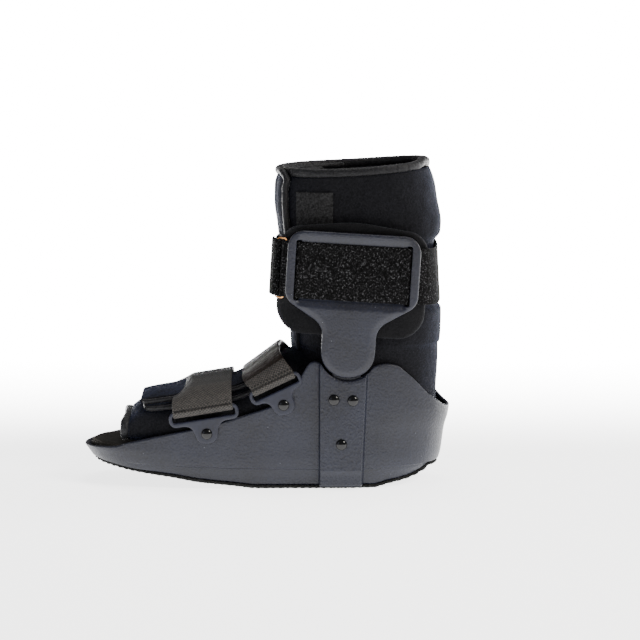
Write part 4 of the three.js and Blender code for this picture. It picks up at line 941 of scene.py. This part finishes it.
def liner():
    """Soft boot: an outer and an inner sock, a foam wall apart, joined at the open toe and at the top."""
    outer, inner = sock(0.0, 144), sock(-FOAM, 144)
    direction = normals(outer, True)
    if np.sum(direction[30, :, :] * (outer[30] - outer[30].mean(0))) < 0:
        direction = -direction
    outer = outer + direction * (ripples(outer, 46.0, 0.45, 3) + ripples(outer, 17.0, 0.12, 4))[..., None]
    points = np.concatenate([outer, inner[::-1]])
    faces = [grid(len(points), points.shape[1], True, True)]
    piece = build("liner_soft_boot", [(points, faces)], CLOTH, "liner_cloth", merge=0.01)
    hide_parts("liner")


def layer(name, points, thick, edge, material, slot, lift, outward):
    """A layer of cloth over a grid of places, with rounded borders."""
    direction = normals(points)
    if np.sum(direction[len(direction) // 2] * outward) < 0:
        direction = -direction
    rows, columns = points.shape[:2]
    du = np.concatenate([[0], np.cumsum(np.linalg.norm(np.diff(points[rows // 2], axis=0), axis=1))])
    dv = np.concatenate([[0], np.cumsum(np.linalg.norm(np.diff(points[:, columns // 2], axis=0), axis=1))])
    near_u, near_v = np.minimum(du, du[-1] - du), np.minimum(dv, dv[-1] - dv)
    half = edge_round(near_u[None], near_v[:, None], edge, edge, thick)
    middle = points + direction * (lift + thick / 2)
    return build(name, pillow(middle, direction, half), material, slot, merge=0.01)


def fine_ends(start, stop, count, edge):
    """Steps that are close together near both ends, so that a rounded border has enough of them."""
    even = np.linspace(start, stop, count)
    size = abs(stop - start)
    close = np.array([0.06, 0.2, 0.45, 0.8]) * edge / size * (stop - start)
    return np.unique(np.concatenate([even, start + close, stop - close]))


def leg_flap():
    """Second layer over the shin, closed on the near side, with shallow folds down it."""
    bearing = fine_ends(118, 207, 70, FLAP_EDGE)
    z = fine_ends(113.7, LEG_HEIGHT, 90, FLAP_EDGE)
    points = np.stack([leg_place(h, bearing) for h in z])
    fold = 0.5 * np.sin(np.radians(bearing) * 22)[None] * ramp(z, 200, 240)[:, None]
    out = np.array([-1.0, 0.0, 0.0])
    points = points + out * fold[..., None]
    piece = layer("leg_flap_cloth", points, FLAP, FLAP_EDGE, CLOTH, "liner_cloth", GAP, out)
    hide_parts("leg_flap")


FOOT_FLAPS = [
    {"node": "foot_flap_under", "from": -100.9, "to": 4.6, "near": -52, "far": 66, "lift": GAP},
    {"node": "foot_flap_over", "from": -104.0, "to": -3.1, "near": -38, "far": 60, "lift": FLAP + 2 * GAP},
]


def foot_flap(flap):
    """Flap over the instep, lying on the foot or on the flap below it."""
    bearing = fine_ends(flap["near"], flap["far"], 60, FLAP_EDGE)
    x = fine_ends(flap["from"], flap["to"], 80, FLAP_EDGE)
    points = np.stack([foot_place(along, bearing) for along in x])
    up = np.array([0.0, 0.0, 1.0])
    piece = layer(flap["node"] + "_cloth", points, FLAP, FLAP_EDGE, CLOTH, "liner_cloth", flap["lift"], up)
    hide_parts(flap["node"])


def foot_flap_binding(flap):
    """Tape on the foot flap's near edge, round its corner and across its tip at the toe."""
    lift = flap["lift"] + FLAP / 2
    start = flap["from"]
    across = [foot_place(np.float64(start), b, lift) for b in np.linspace(30, flap["near"] + 14, 7)]
    corner = [foot_place(np.float64(start + 2.5), flap["near"] + 3.5, lift)]
    steps = np.linspace(start + 9, flap["to"] - 1, 12)
    along = [foot_place(np.float64(x), flap["near"], lift) for x in steps]
    path = spline(across + corner + along, 300)
    section = pucker(path, oval_section(3.9, 3.6, 12, 2.4), 0.05, 14)
    points, faces = sweep(path, np.array([0.0, -0.4, 1.0]), section)
    piece = build(flap["node"] + "_binding", [(points, faces)], TAPE, "liner_cloth")
    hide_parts(flap["node"])


def fastening_patch():
    """Square of hook tape sewn to the leg on the near side."""
    z = fine_ends(217.0, 246.6, 24, 0.8)
    x = fine_ends(26.1, 55.7, 24, 0.8)
    bearing = np.linspace(185, 272, 400)
    rows = []
    for height in z:
        ring = leg_place(height, bearing)
        rows.append(np.stack([np.interp(x, ring[:, 0], ring[:, k]) for k in range(3)], 1))
    points = np.stack(rows)
    out = np.array([0.0, -1.0, 0.0])
    piece = layer("fastening_patch_hooks", points, 1.2, 0.8, HOOK, "hook_tape", 0.3, out)
    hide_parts("fastening_patch")


def pucker(path, section, amount, seed):
    """Small gathers across a binding: its size changes along it in irregular waves."""
    along = np.cumsum(np.r_[0, np.linalg.norm(np.diff(path, axis=0), axis=1)])
    source = np.random.default_rng(seed)
    wave = sum(np.sin(along * TURN / w + source.uniform(0, TURN)) for w in (3.1, 4.7, 7.3, 13.0)) / 4
    return section[None] * (1 + amount * wave)[:, None, None]


def top_binding():
    """Tape folded over the top edge: the near side rises to a pinched corner at the back."""
    bearing = np.linspace(0, 360, 520, endpoint=False)
    edge = leg_place(np.float64(LEG_HEIGHT), bearing, -FOAM / 2)
    corner = 2.4 * np.exp(-((bearing - 338) / 9.0) ** 2)
    path = edge + np.stack([0 * bearing, 0 * bearing, TAPE_SEAT + corner], 1)
    section = pucker(path, oval_section(7.4, 7.0, 20, 2.6), 0.05, 11)
    up = np.array([0.0, 0.0, 1.0])
    points, faces = sweep(path, up, section, closed=True)
    piece = build("top_binding_tape", [(points, faces)], TAPE, "binding_tape")
    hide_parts("top_binding")


def tongue_edges():
    """Bound edges of the two inner layers that show in the top opening, one inside the other."""
    parts = []
    for offset, drop, start, stop in ((-8.6, -1.0, 96, 330), (-13.2, -3.0, 120, 300)):
        bearing = np.linspace(start, stop, 300)
        path = leg_place(np.float64(LEG_HEIGHT), bearing, offset) + np.array([0, 0, TAPE_SEAT + drop])
        section = pucker(path, oval_section(4.6, 3.4, 12, 2.4), 0.05, int(start))
        parts.append(sweep(path, np.array([0.0, 0.0, 1.0]), section))
    piece = build("liner_tongue_edges", parts, TAPE, "liner_cloth")
    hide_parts("liner")


def leg_flap_binding():
    """Tape on the leg flap: over its top edge from the far side, round the corner and down its near edge."""
    bearings = (120, 140, 155, 170, 183, 194, 202)
    over = [leg_place(np.float64(LEG_HEIGHT), b, 3.2) + [0, 0, TAPE_SEAT] for b in bearings]
    levels = (256, 250, 240, 228, 214, 200, 180, 160, 146, 138)
    down = [leg_place(np.float64(z), 212.1, 3.0 - 2.4 * ramp(-z, -170, -150)) for z in levels]
    path = spline(over + down, 420)
    slim = 1 - 0.6 * (1 - ramp(path[:, 2], 135, 165))
    section = pucker(path, oval_section(5.6, 5.2, 16, 2.4), 0.06, 12) * slim[:, None, None]
    points, faces = sweep(path, np.array([-0.6, -0.8, 0.05]), section)
    piece = build("leg_flap_binding_tape", [(points, faces)], TAPE, "binding_tape")
    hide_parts("leg_flap_binding")


def toe_binding():
    """Tape round the open toe's edge: a broad soft roll."""
    bearing = np.linspace(-152, 152, 380)
    edge = foot_place(np.float64(-115), bearing, -FOAM / 2)
    path = edge + np.array([-2.6, 0.0, 0.0])
    path[:, 2] -= 2.2 * ramp(np.cos(np.radians(bearing)), 0.3, 1.0)
    section = pucker(path, oval_section(7.6, 6.6, 18, 2.6), 0.04, 13)
    points, faces = sweep(path, np.array([-1.0, 0.0, 0.0]), section)
    piece = build("toe_binding_tape", [(points, faces)], TOE_TAPE, "binding_tape")
    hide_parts("toe_binding")


# Uprights, pads and rivets

def upright_outline():
    side = [(STEM_HALF, 0.0, 22.0), (STEM_HALF, 43.0, 16.0)]
    side += [(HEAD_HALF, 63.5, 15.0), (HEAD_HALF, HEAD_TOP, 14.0)]
    return resample(rounded(side + [(-x, y, r) for x, y, r in side[::-1]], 14), 1.1)


def slot_outline(side):
    low, high = SLOT_MIDDLE - SLOT_HEIGHT / 2, SLOT_MIDDLE + SLOT_HEIGHT / 2
    near, far = SLOT_AT - SLOT_WIDTH / 2, SLOT_AT + SLOT_WIDTH / 2
    corners = [(near, low, 1.2), (far, low, 1.2), (far, high, 1.2), (near, high, 1.2)]
    return resample(rounded([(side * x, y, r) for x, y, r in corners], 4), 0.6)


def upright(name, sign):
    """Moulded upright: a crowned stem that widens into a head with two slots. Between the slots the head is
    hollowed for the strap, from a lip at its top down to the stem."""
    outline = upright_outline()

    def outside(uv):
        u, v = uv[:, 0], uv[:, 1]
        hollow = ramp(v, 57, 65) * (1 - ramp(v, 106, 119)) * (1 - ramp(np.abs(u), 43.2, 47.2))
        edge = np.sqrt(((uv[:, None] - outline[None, ::2]) ** 2).sum(-1).min(1))
        fall = (1 - ramp(edge, 0, 5.5)) * (1 - ramp(v, 52, 66))
        return PLATE_OUT - (PLATE - PANEL) * hollow - 1.5 * fall

    def inside_face(uv):
        u, v = uv[:, 0], uv[:, 1]
        post = ramp(np.abs(u), 46.5, 47.9) * ramp(v, 62, 63.5) * (1 - ramp(v, 112.5, 114))
        return np.full(len(uv), PLATE_OUT - PLATE) + (PLATE - POST) * post

    def place(points):
        return upright_place(points * np.array([1, sign, 1]))

    holes = [slot_outline(-1), slot_outline(1)]
    parts = [plate(outline, holes, outside, inside_face, 1.3, 0.8, 1.3, place)]
    back = CHANNEL_FACE - CHANNEL_WALL - GAP
    tongue = rounded([(-12, -63, 3), (12, -63, 3), (12, 26, 3), (-12, 26, 3)], 5)
    inner = back - 3.0 + 0.001

    def tongue_place(points):
        return tilted(points * np.array([1, sign, 1]), STEM_X, STEM_Z, UPRIGHT_TILT)

    faces = level_face(back), level_face(inner)
    parts.append(plate(resample(tongue, 2.0), [], *faces, 0.6, 0.6, 8.0, tongue_place))
    piece = build("upright_%s_moulded" % name, parts, PLASTIC, "shell_plastic", merge=0.01)
    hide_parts("upright_" + name)


def pad(name, sign):
    """Cloth-covered foam pad behind an upright: a flat cushion with a pressed border, its front edge turned
    in round the leg."""
    outline = resample(rounded([
        (61.5, 34.5, 22), (61.5, 122.5, 20), (0, 130, 120), (-61.5, 122.5, 20), (-61.5, 34.5, 22)], 14), 1.6)

    def bend(u):
        past = np.clip(np.abs(u) - 38, 0, None) / 23.5
        return np.where(u < 0, 15.0, 7.0) * past ** 2

    def place(points):
        moved = points.copy()
        moved[:, 1] -= bend(points[:, 0])
        return upright_place(moved * np.array([1, sign, 1]))

    outer = PLATE_OUT - PLATE - GAP
    parts = [plate(outline, [], level_face(outer), level_face(outer - PAD_THICK), 2.3, 1.0, 2.2, place)]
    piece = build("pad_%s_cushion" % name, parts, PAD_CLOTH, "pad_cloth", merge=0.01)
    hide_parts("pad_" + name)


def rivet_points():
    """Domed head, shank and tail, turned about the rivet's axis."""
    dome = [(4.6 * math.cos(t), 2.6 * math.sin(t)) for t in np.linspace(math.pi / 2, 0, 10)]
    profile = np.array(dome + [(4.55, -0.15), (4.2, -0.28), (1.9, -0.28)])
    turn = np.linspace(0, TURN, 40, endpoint=False)
    r, y = profile[:, 0][:, None], profile[:, 1][:, None]
    return np.stack([r * np.cos(turn), y + 0 * turn, r * np.sin(turn)], -1)


def rivet(name, x, z, seat, sign):
    """A rivet whose head sits at seat from the boot's middle."""
    head = rivet_points()
    shank = [head[-1] * [wide, 0, wide] - [0, RIVET_GRIP + past, 0]
             for wide, past in ((1.0, 0), (1.6, 0), (1.5, 1), (0.0, 1))]
    points = np.concatenate([head, np.stack(shank)])
    points = points * np.array([1, sign, 1]) + np.array([x, sign * seat, z])
    faces = [grid(len(points), points.shape[1], False, True)]
    piece = build(name + "_domed", [(points, faces)], RIVET, "rivet_black", merge=0.001)
    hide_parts(name)


# Calf strap and its wire ring

WIRE_REAR = (-56.2, -54.2)
WIRE_FRONT = (-62.9, -48.8)
WIRE_THICK = 1.5


def round_wire(wire, start, end, steps=8):
    """Places of the strap's middle on its way round a wire, between two bearings."""
    radius = WIRE_THICK * 0.7 + GAP + WEB / 2
    turn = np.radians(np.linspace(start, end, steps))
    return [(wire[0] + radius * math.cos(t), wire[1] + radius * math.sin(t)) for t in turn]


def strap_route():
    behind = PLATE_OUT - POST - GAP - WEB / 2
    over = PLATE_OUT - PLATE + PANEL + GAP + 0.15 + WEB / 2
    step = SLOT_WIDTH / 2 - WEB / 2 - GAP
    back, front = STRAP_BACK + WEB / 2, -63.9 - WEB / 2
    outside = front - WEB
    beside = [(-51.8, behind), (-SLOT_AT - step, behind), (-SLOT_AT + step, over), (-30, over), (0, over),
              (30, over), (SLOT_AT - step, over), (SLOT_AT + step, behind), (51.8, behind),
              (56.8, behind * 0.968),
              (back * 0.88, behind * 0.885), (back * 0.95, behind * 0.72), (back * 0.985, behind * 0.45)]
    shin = [(-56.8, behind * 0.962), (front * 0.935, behind * 0.86), (front * 0.975, behind * 0.71),
            (front * 0.995, behind * 0.4), (front, 0), (front * 0.995, -behind * 0.4),
            (front * 0.983, -behind * 0.65), (front * 0.975, -behind * 0.715)]
    tail = [(outside * 0.998, -behind * 0.69), (outside, -behind * 0.4), (outside, 0), (outside, 24)]
    bearing = math.degrees(math.atan2(WIRE_FRONT[1] - WIRE_REAR[1], WIRE_FRONT[0] - WIRE_REAR[0]))
    near = [(u, -y) for u, y in beside]
    return (
        [(WIRE_REAR[0] + 5, WIRE_REAR[1] - 1)] + round_wire(WIRE_REAR, bearing - 90, bearing + 90) + near
        + [(back, 0)] + beside[::-1] + shin + round_wire(WIRE_FRONT, bearing - 100, bearing - 285, 9) + tail)


def calf_strap():
    """Napped strap on its edge: from the ring past the near upright, round the calf, past the far upright,
    round the shin and back through the ring."""
    route = spline(strap_route(), 900)
    path = np.stack([route[:, 0], route[:, 1], np.full(len(route), SLOT_MIDDLE)], 1)
    tangent = unit(np.gradient(path, axis=0))
    across = np.stack([-tangent[:, 1], tangent[:, 0], 0 * tangent[:, 0]], 1)
    section = band_section(CALF_WEB, WEB, 26)
    points, faces = sweep(path, across, section)
    past = np.clip((points[..., 0] - HEAD_HALF) / (STRAP_BACK - HEAD_HALF), 0, 1)
    points[..., 0] += past * -0.115 * (points[..., 2] - SLOT_MIDDLE)
    points[..., 2] -= STRAP_DROP * ramp(points[..., 1], -46, 20) * ramp(-points[..., 0], 52, 62)
    lean = np.clip(np.abs(points[..., 1]) / 50, 0, 1)
    placed = upright_place(points, lean)
    piece = build("calf_strap_loop", [(placed, faces)], PILE, "loop_strap", merge=0.002)
    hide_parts("calf_strap")


def calf_ring():
    """Ring of round wire with four bends, that joins the strap's two ends."""
    span = math.dist(WIRE_REAR, WIRE_FRONT) / 2
    high = 51.0 / 2 - WIRE_THICK / 2
    corners = [(span, -high, 2.2), (span, high, 2.2), (-span, high, 2.2), (-span, -high, 2.2)]
    loop = resample(rounded(corners, 6), 0.8)
    turn = math.atan2(WIRE_REAR[1] - WIRE_FRONT[1], WIRE_REAR[0] - WIRE_FRONT[0])
    middle = np.array([(WIRE_REAR[k] + WIRE_FRONT[k]) / 2 for k in (0, 1)])
    path = np.stack([
        middle[0] + loop[:, 0] * math.cos(turn),
        middle[1] + loop[:, 0] * math.sin(turn),
        SLOT_MIDDLE + loop[:, 1],
    ], 1)
    normal = np.array([-math.sin(turn), math.cos(turn), 0.0])
    points, faces = sweep(path, normal, oval_section(WIRE_THICK, WIRE_THICK, 12), closed=True)
    piece = build("calf_ring_wire", [(upright_place(points), faces)], WIRE, "ring_wire")
    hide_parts("calf_ring")


# Strap rings and webbing

def ring_outline(ring):
    half = ring["web"] / 2 + WEB_PLAY + RING_SIDE
    low = RING_SLOT_UP - RING_SLOT / 2 - RING_FOOT_BAR
    top = RING_SLOT_UP + RING_SLOT / 2 + RING_BAR
    side = [(EAR, -EAR, 8.1), (EAR + 2.3, low, 9.0), (half, low, 6.0), (half, top, 6.0)]
    return resample(rounded(side + [(-x, y, r) for x, y, r in side[::-1]], 12), 0.8)


def ring_plate(name, ring, sign):
    """Riveted ring: an ear that widens through a neck into a bar with a slot."""
    slot_half = ring["web"] / 2 + WEB_PLAY
    low, high = RING_SLOT_UP - RING_SLOT / 2, RING_SLOT_UP + RING_SLOT / 2
    corners = [(slot_half, low, 1.6), (slot_half, high, 1.6), (-slot_half, high, 1.6), (-slot_half, low, 1.6)]
    slot = resample(rounded(corners, 5), 0.7)
    inside_y = ring["inside"]

    def place(points):
        return ring_place(points * np.array([1, sign, 1]), ring)

    parts = [plate(ring_outline(ring), [slot], level_face(inside_y + RING_PLATE), level_face(inside_y),
                   1.0, 0.9, 1.4, place)]
    piece = build(name + "_moulded", parts, RING_PLASTIC, "ring_plastic", merge=0.01)
    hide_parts(name)


def over_foot(ring, top, outer, full):
    """Route of a strap's middle across the foot, from the near ring's bar to the far one: (across, up). full
    is from 0, shoulders that fall away, to 1, square ones."""
    bar_out = ring["inside"] + RING_PLATE / 2
    low = RING_SLOT_UP + RING_SLOT / 2
    shoulder = np.array([0.62, 0.72, 0.81, 0.885, 0.95, 0.988])
    shoulder = shoulder + full * (np.array([0.64, 0.74, 0.84, 0.92, 0.985, 1.0]) - shoulder)
    out = (0.985, 0.955, 0.89, 0.77, 0.52, 0.25)
    half = [(1.0, low + 1.0), (1.0, low + RING_BAR + 2)] + list(zip(out, top * shoulder))
    near = [(-bar_out * out - outer, up) for out, up in half[:2]]
    near += [(-(bar_out + outer) * out, up + outer * (1 - out) * 2) for out, up in half[2:]]
    return near + [(0, top + outer)] + [(-y, up) for y, up in near[::-1]]


def foot_strap(name, ring, top, full, end, slope, shift, cut, band):
    """Webbing over the foot from bar to bar. On the near side its own end comes round the bar, lies on top up
    to a height of end and is sewn down with a zigzag; the band below it goes on over the foot. slope raises
    the band's heelward edge, shift moves it towards the toe as it climbs, and cut takes off a corner."""
    width = ring["web"]

    def shaped(points):
        p = points[..., 0].copy()
        share = np.clip((points[..., 2] - 24) / (top - 24), 0, 1)
        toeward = np.clip((-p - width * 0.2) / (width * 0.3), 0, 1)
        points[..., 2] += slope * p * share - cut * share ** 3 * toeward
        points[..., 0] -= shift * share
        return ring_place(points, ring)

    def length(points, pieces):
        along = np.concatenate([[0], np.linspace(0, pieces, points.shape[0] - 2), [pieces]])
        return np.stack(np.broadcast_arrays(along[:, None], points[..., 0]), -1).reshape(-1, 2)

    def laid(outer, stop):
        route = spline(over_foot(ring, top, outer, full), 360)
        if stop:
            route = route[:int(np.argmax(route[:, 1] > stop))]
        path = np.stack([np.zeros(len(route)), route[:, 0], route[:, 1]], 1)
        out = np.cross(unit(np.gradient(path, axis=0)), np.array([1.0, 0, 0]))
        out = out * np.sign(out[0, 1]) * -1
        points, faces = sweep(path, out, band_section(width, WEB, 20))
        long = np.linalg.norm(np.diff(route, axis=0), axis=1).sum()
        return (shaped(points), faces), length(points, long), long

    upper, upper_uv, tab_long = laid(TAB_LIFT, end)
    parts, uvs = [upper], [upper_uv]
    fold = RING_PLATE / 2 + GAP + WEB / 2
    bar = RING_SLOT_UP + RING_SLOT / 2 + RING_BAR / 2
    centre = ring["inside"] + RING_PLATE / 2
    for sign in (-1, 1):
        turn = np.linspace(0, math.pi, 14)
        beside, up = sign * (centre + fold * np.cos(turn)), bar + 1.5 - (fold + 1.6) * np.sin(turn)
        path = np.stack([0 * turn, beside, up], 1)
        out = np.stack([0 * turn, sign * np.cos(turn), -np.sin(turn)], 1)
        points, faces = sweep(path, out, band_section(width, WEB, 20))
        parts.append((ring_place(points, ring), faces))
        uvs.append(length(points, BAR_WRAP))
    tab = build(name + "_webbing", parts, WEBBING, "webbing", uv=np.concatenate(uvs), merge=0.001)
    lower, lower_uv, band_long = laid(-TAB_LIFT, None)
    over = build(name + "_band", [lower], band, "webbing", uv=lower_uv, merge=0.001)
    steps = np.arange(0, int(width / 1.5))
    across = (steps - steps[-1] / 2) * 1.45
    beside = 0 * across - centre - TAB_LIFT - WEB / 2 - 0.15
    stitch = np.stack([across, beside, 21.4 + 1.9 * (-1.0) ** steps], 1)
    points, faces = sweep(spline(stitch, 700), np.array([0.0, -1.0, 0.0]), oval_section(0.6, 0.6, 8))
    seam = build(name + "_stitches", [(ring_place(points, ring), faces)], THREAD, "webbing")
    for piece in (tab, over, seam):
        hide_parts(name)


# Assembly

shell()
outsole()
insole()
liner()
leg_flap()
for flap in FOOT_FLAPS:
    foot_flap(flap)
    foot_flap_binding(flap)
fastening_patch()
top_binding()
tongue_edges()
leg_flap_binding()
toe_binding()
RIVETS = [(STEM_X - 10.2, STEM_Z - 18.0), (STEM_X + 5.5, STEM_Z - 18.7), (STEM_X - 4.0, STEM_Z - 55.5)]
for side, sign in (("left", -1), ("right", 1)):
    upright(side, sign)
    pad(side, sign)
    for number, (x, z) in enumerate(RIVETS, 1):
        rivet("upright_rivet_%s_%d" % (side, number), x, z, CHANNEL_FACE + GAP, sign)
    for place_name, ring in (("forefoot", FOREFOOT), ("instep", INSTEP)):
        ring_plate("%s_ring_%s" % (place_name, side), ring, sign)
        seat = ring["inside"] + RING_PLATE + GAP
        rivet("%s_rivet_%s" % (place_name, side), ring["x"], ring["z"], seat, sign)
calf_strap()
calf_ring()
# The forefoot strap's band is the darker webbing, painted shade over the fold above its tab
foot_strap("forefoot_strap", FOREFOOT, 41.6, 0.15, 38.0, 0.0, -2.0, 12.0, SHADED_BAND)
foot_strap("instep_strap", INSTEP, 38.4, 0.6, 32.0, 0.22, 5.0, 0.0, BROWN_TAPE)


# Studio

def studio():
    """White paper under and behind the boot, and soft light from above, right and left."""
    size = 30.0
    mesh = bpy.data.meshes.new("studio_floor")
    corners = [(-size, -size, 0), (size, -size, 0), (size, size, 0), (-size, size, 0)]
    mesh.from_pydata(corners, [], [(0, 1, 2, 3)])
    floor = bpy.data.objects.new("studio_floor", mesh)
    mesh.materials.append(PAPER)
    bpy.context.scene.collection.objects.link(floor)
    world = bpy.data.worlds.new("studio_world")
    bpy.context.scene.world = world
    world.use_nodes = True
    world.node_tree.nodes["Background"].inputs[0].default_value = (1, 1, 1, 1)
    world.node_tree.nodes["Background"].inputs[1].default_value = 0.30
    lights = [
        ("key", (1.7, -1.2, 1.7), 0.8, 62.0, "#fffaf2"),
        ("edge", (2.0, 0.6, 1.0), 0.8, 24.0, "#ffffff"),
        ("fill", (-1.8, -1.6, 0.8), 1.2, 5.0, "#d8e0ff"),
        ("top", (0.1, 0.3, 1.9), 0.8, 16.0, "#ffffff"),
    ]
    for name, place, width, watts, tint in lights:
        data = bpy.data.lights.new(name, "AREA")
        data.size = width
        data.energy = watts
        data.color = colour(tint)[:3]
        lamp = bpy.data.objects.new(name, data)
        lamp.location = place
        lamp.rotation_euler = (Vector((0.03, 0, 0.12)) - Vector(place)).to_track_quat("-Z", "Y").to_euler()
        bpy.context.scene.collection.objects.link(lamp)


def camera():
    """The photograph's view: from the side, eight degrees above, at three metres."""
    data = bpy.data.cameras.new("camera")
    data.sensor_width = 36.0
    data.lens = 200.9
    data.clip_start = 0.1
    data.clip_end = 100.0
    item = bpy.data.objects.new("camera", data)
    target = Vector((0.04503, 0.0, 0.13481))
    item.location = Vector((0.04503, -2.9708, 0.55233))
    item.rotation_euler = (target - item.location).to_track_quat("-Z", "Y").to_euler()
    bpy.context.scene.collection.objects.link(item)
    bpy.context.scene.camera = item


studio()
camera()
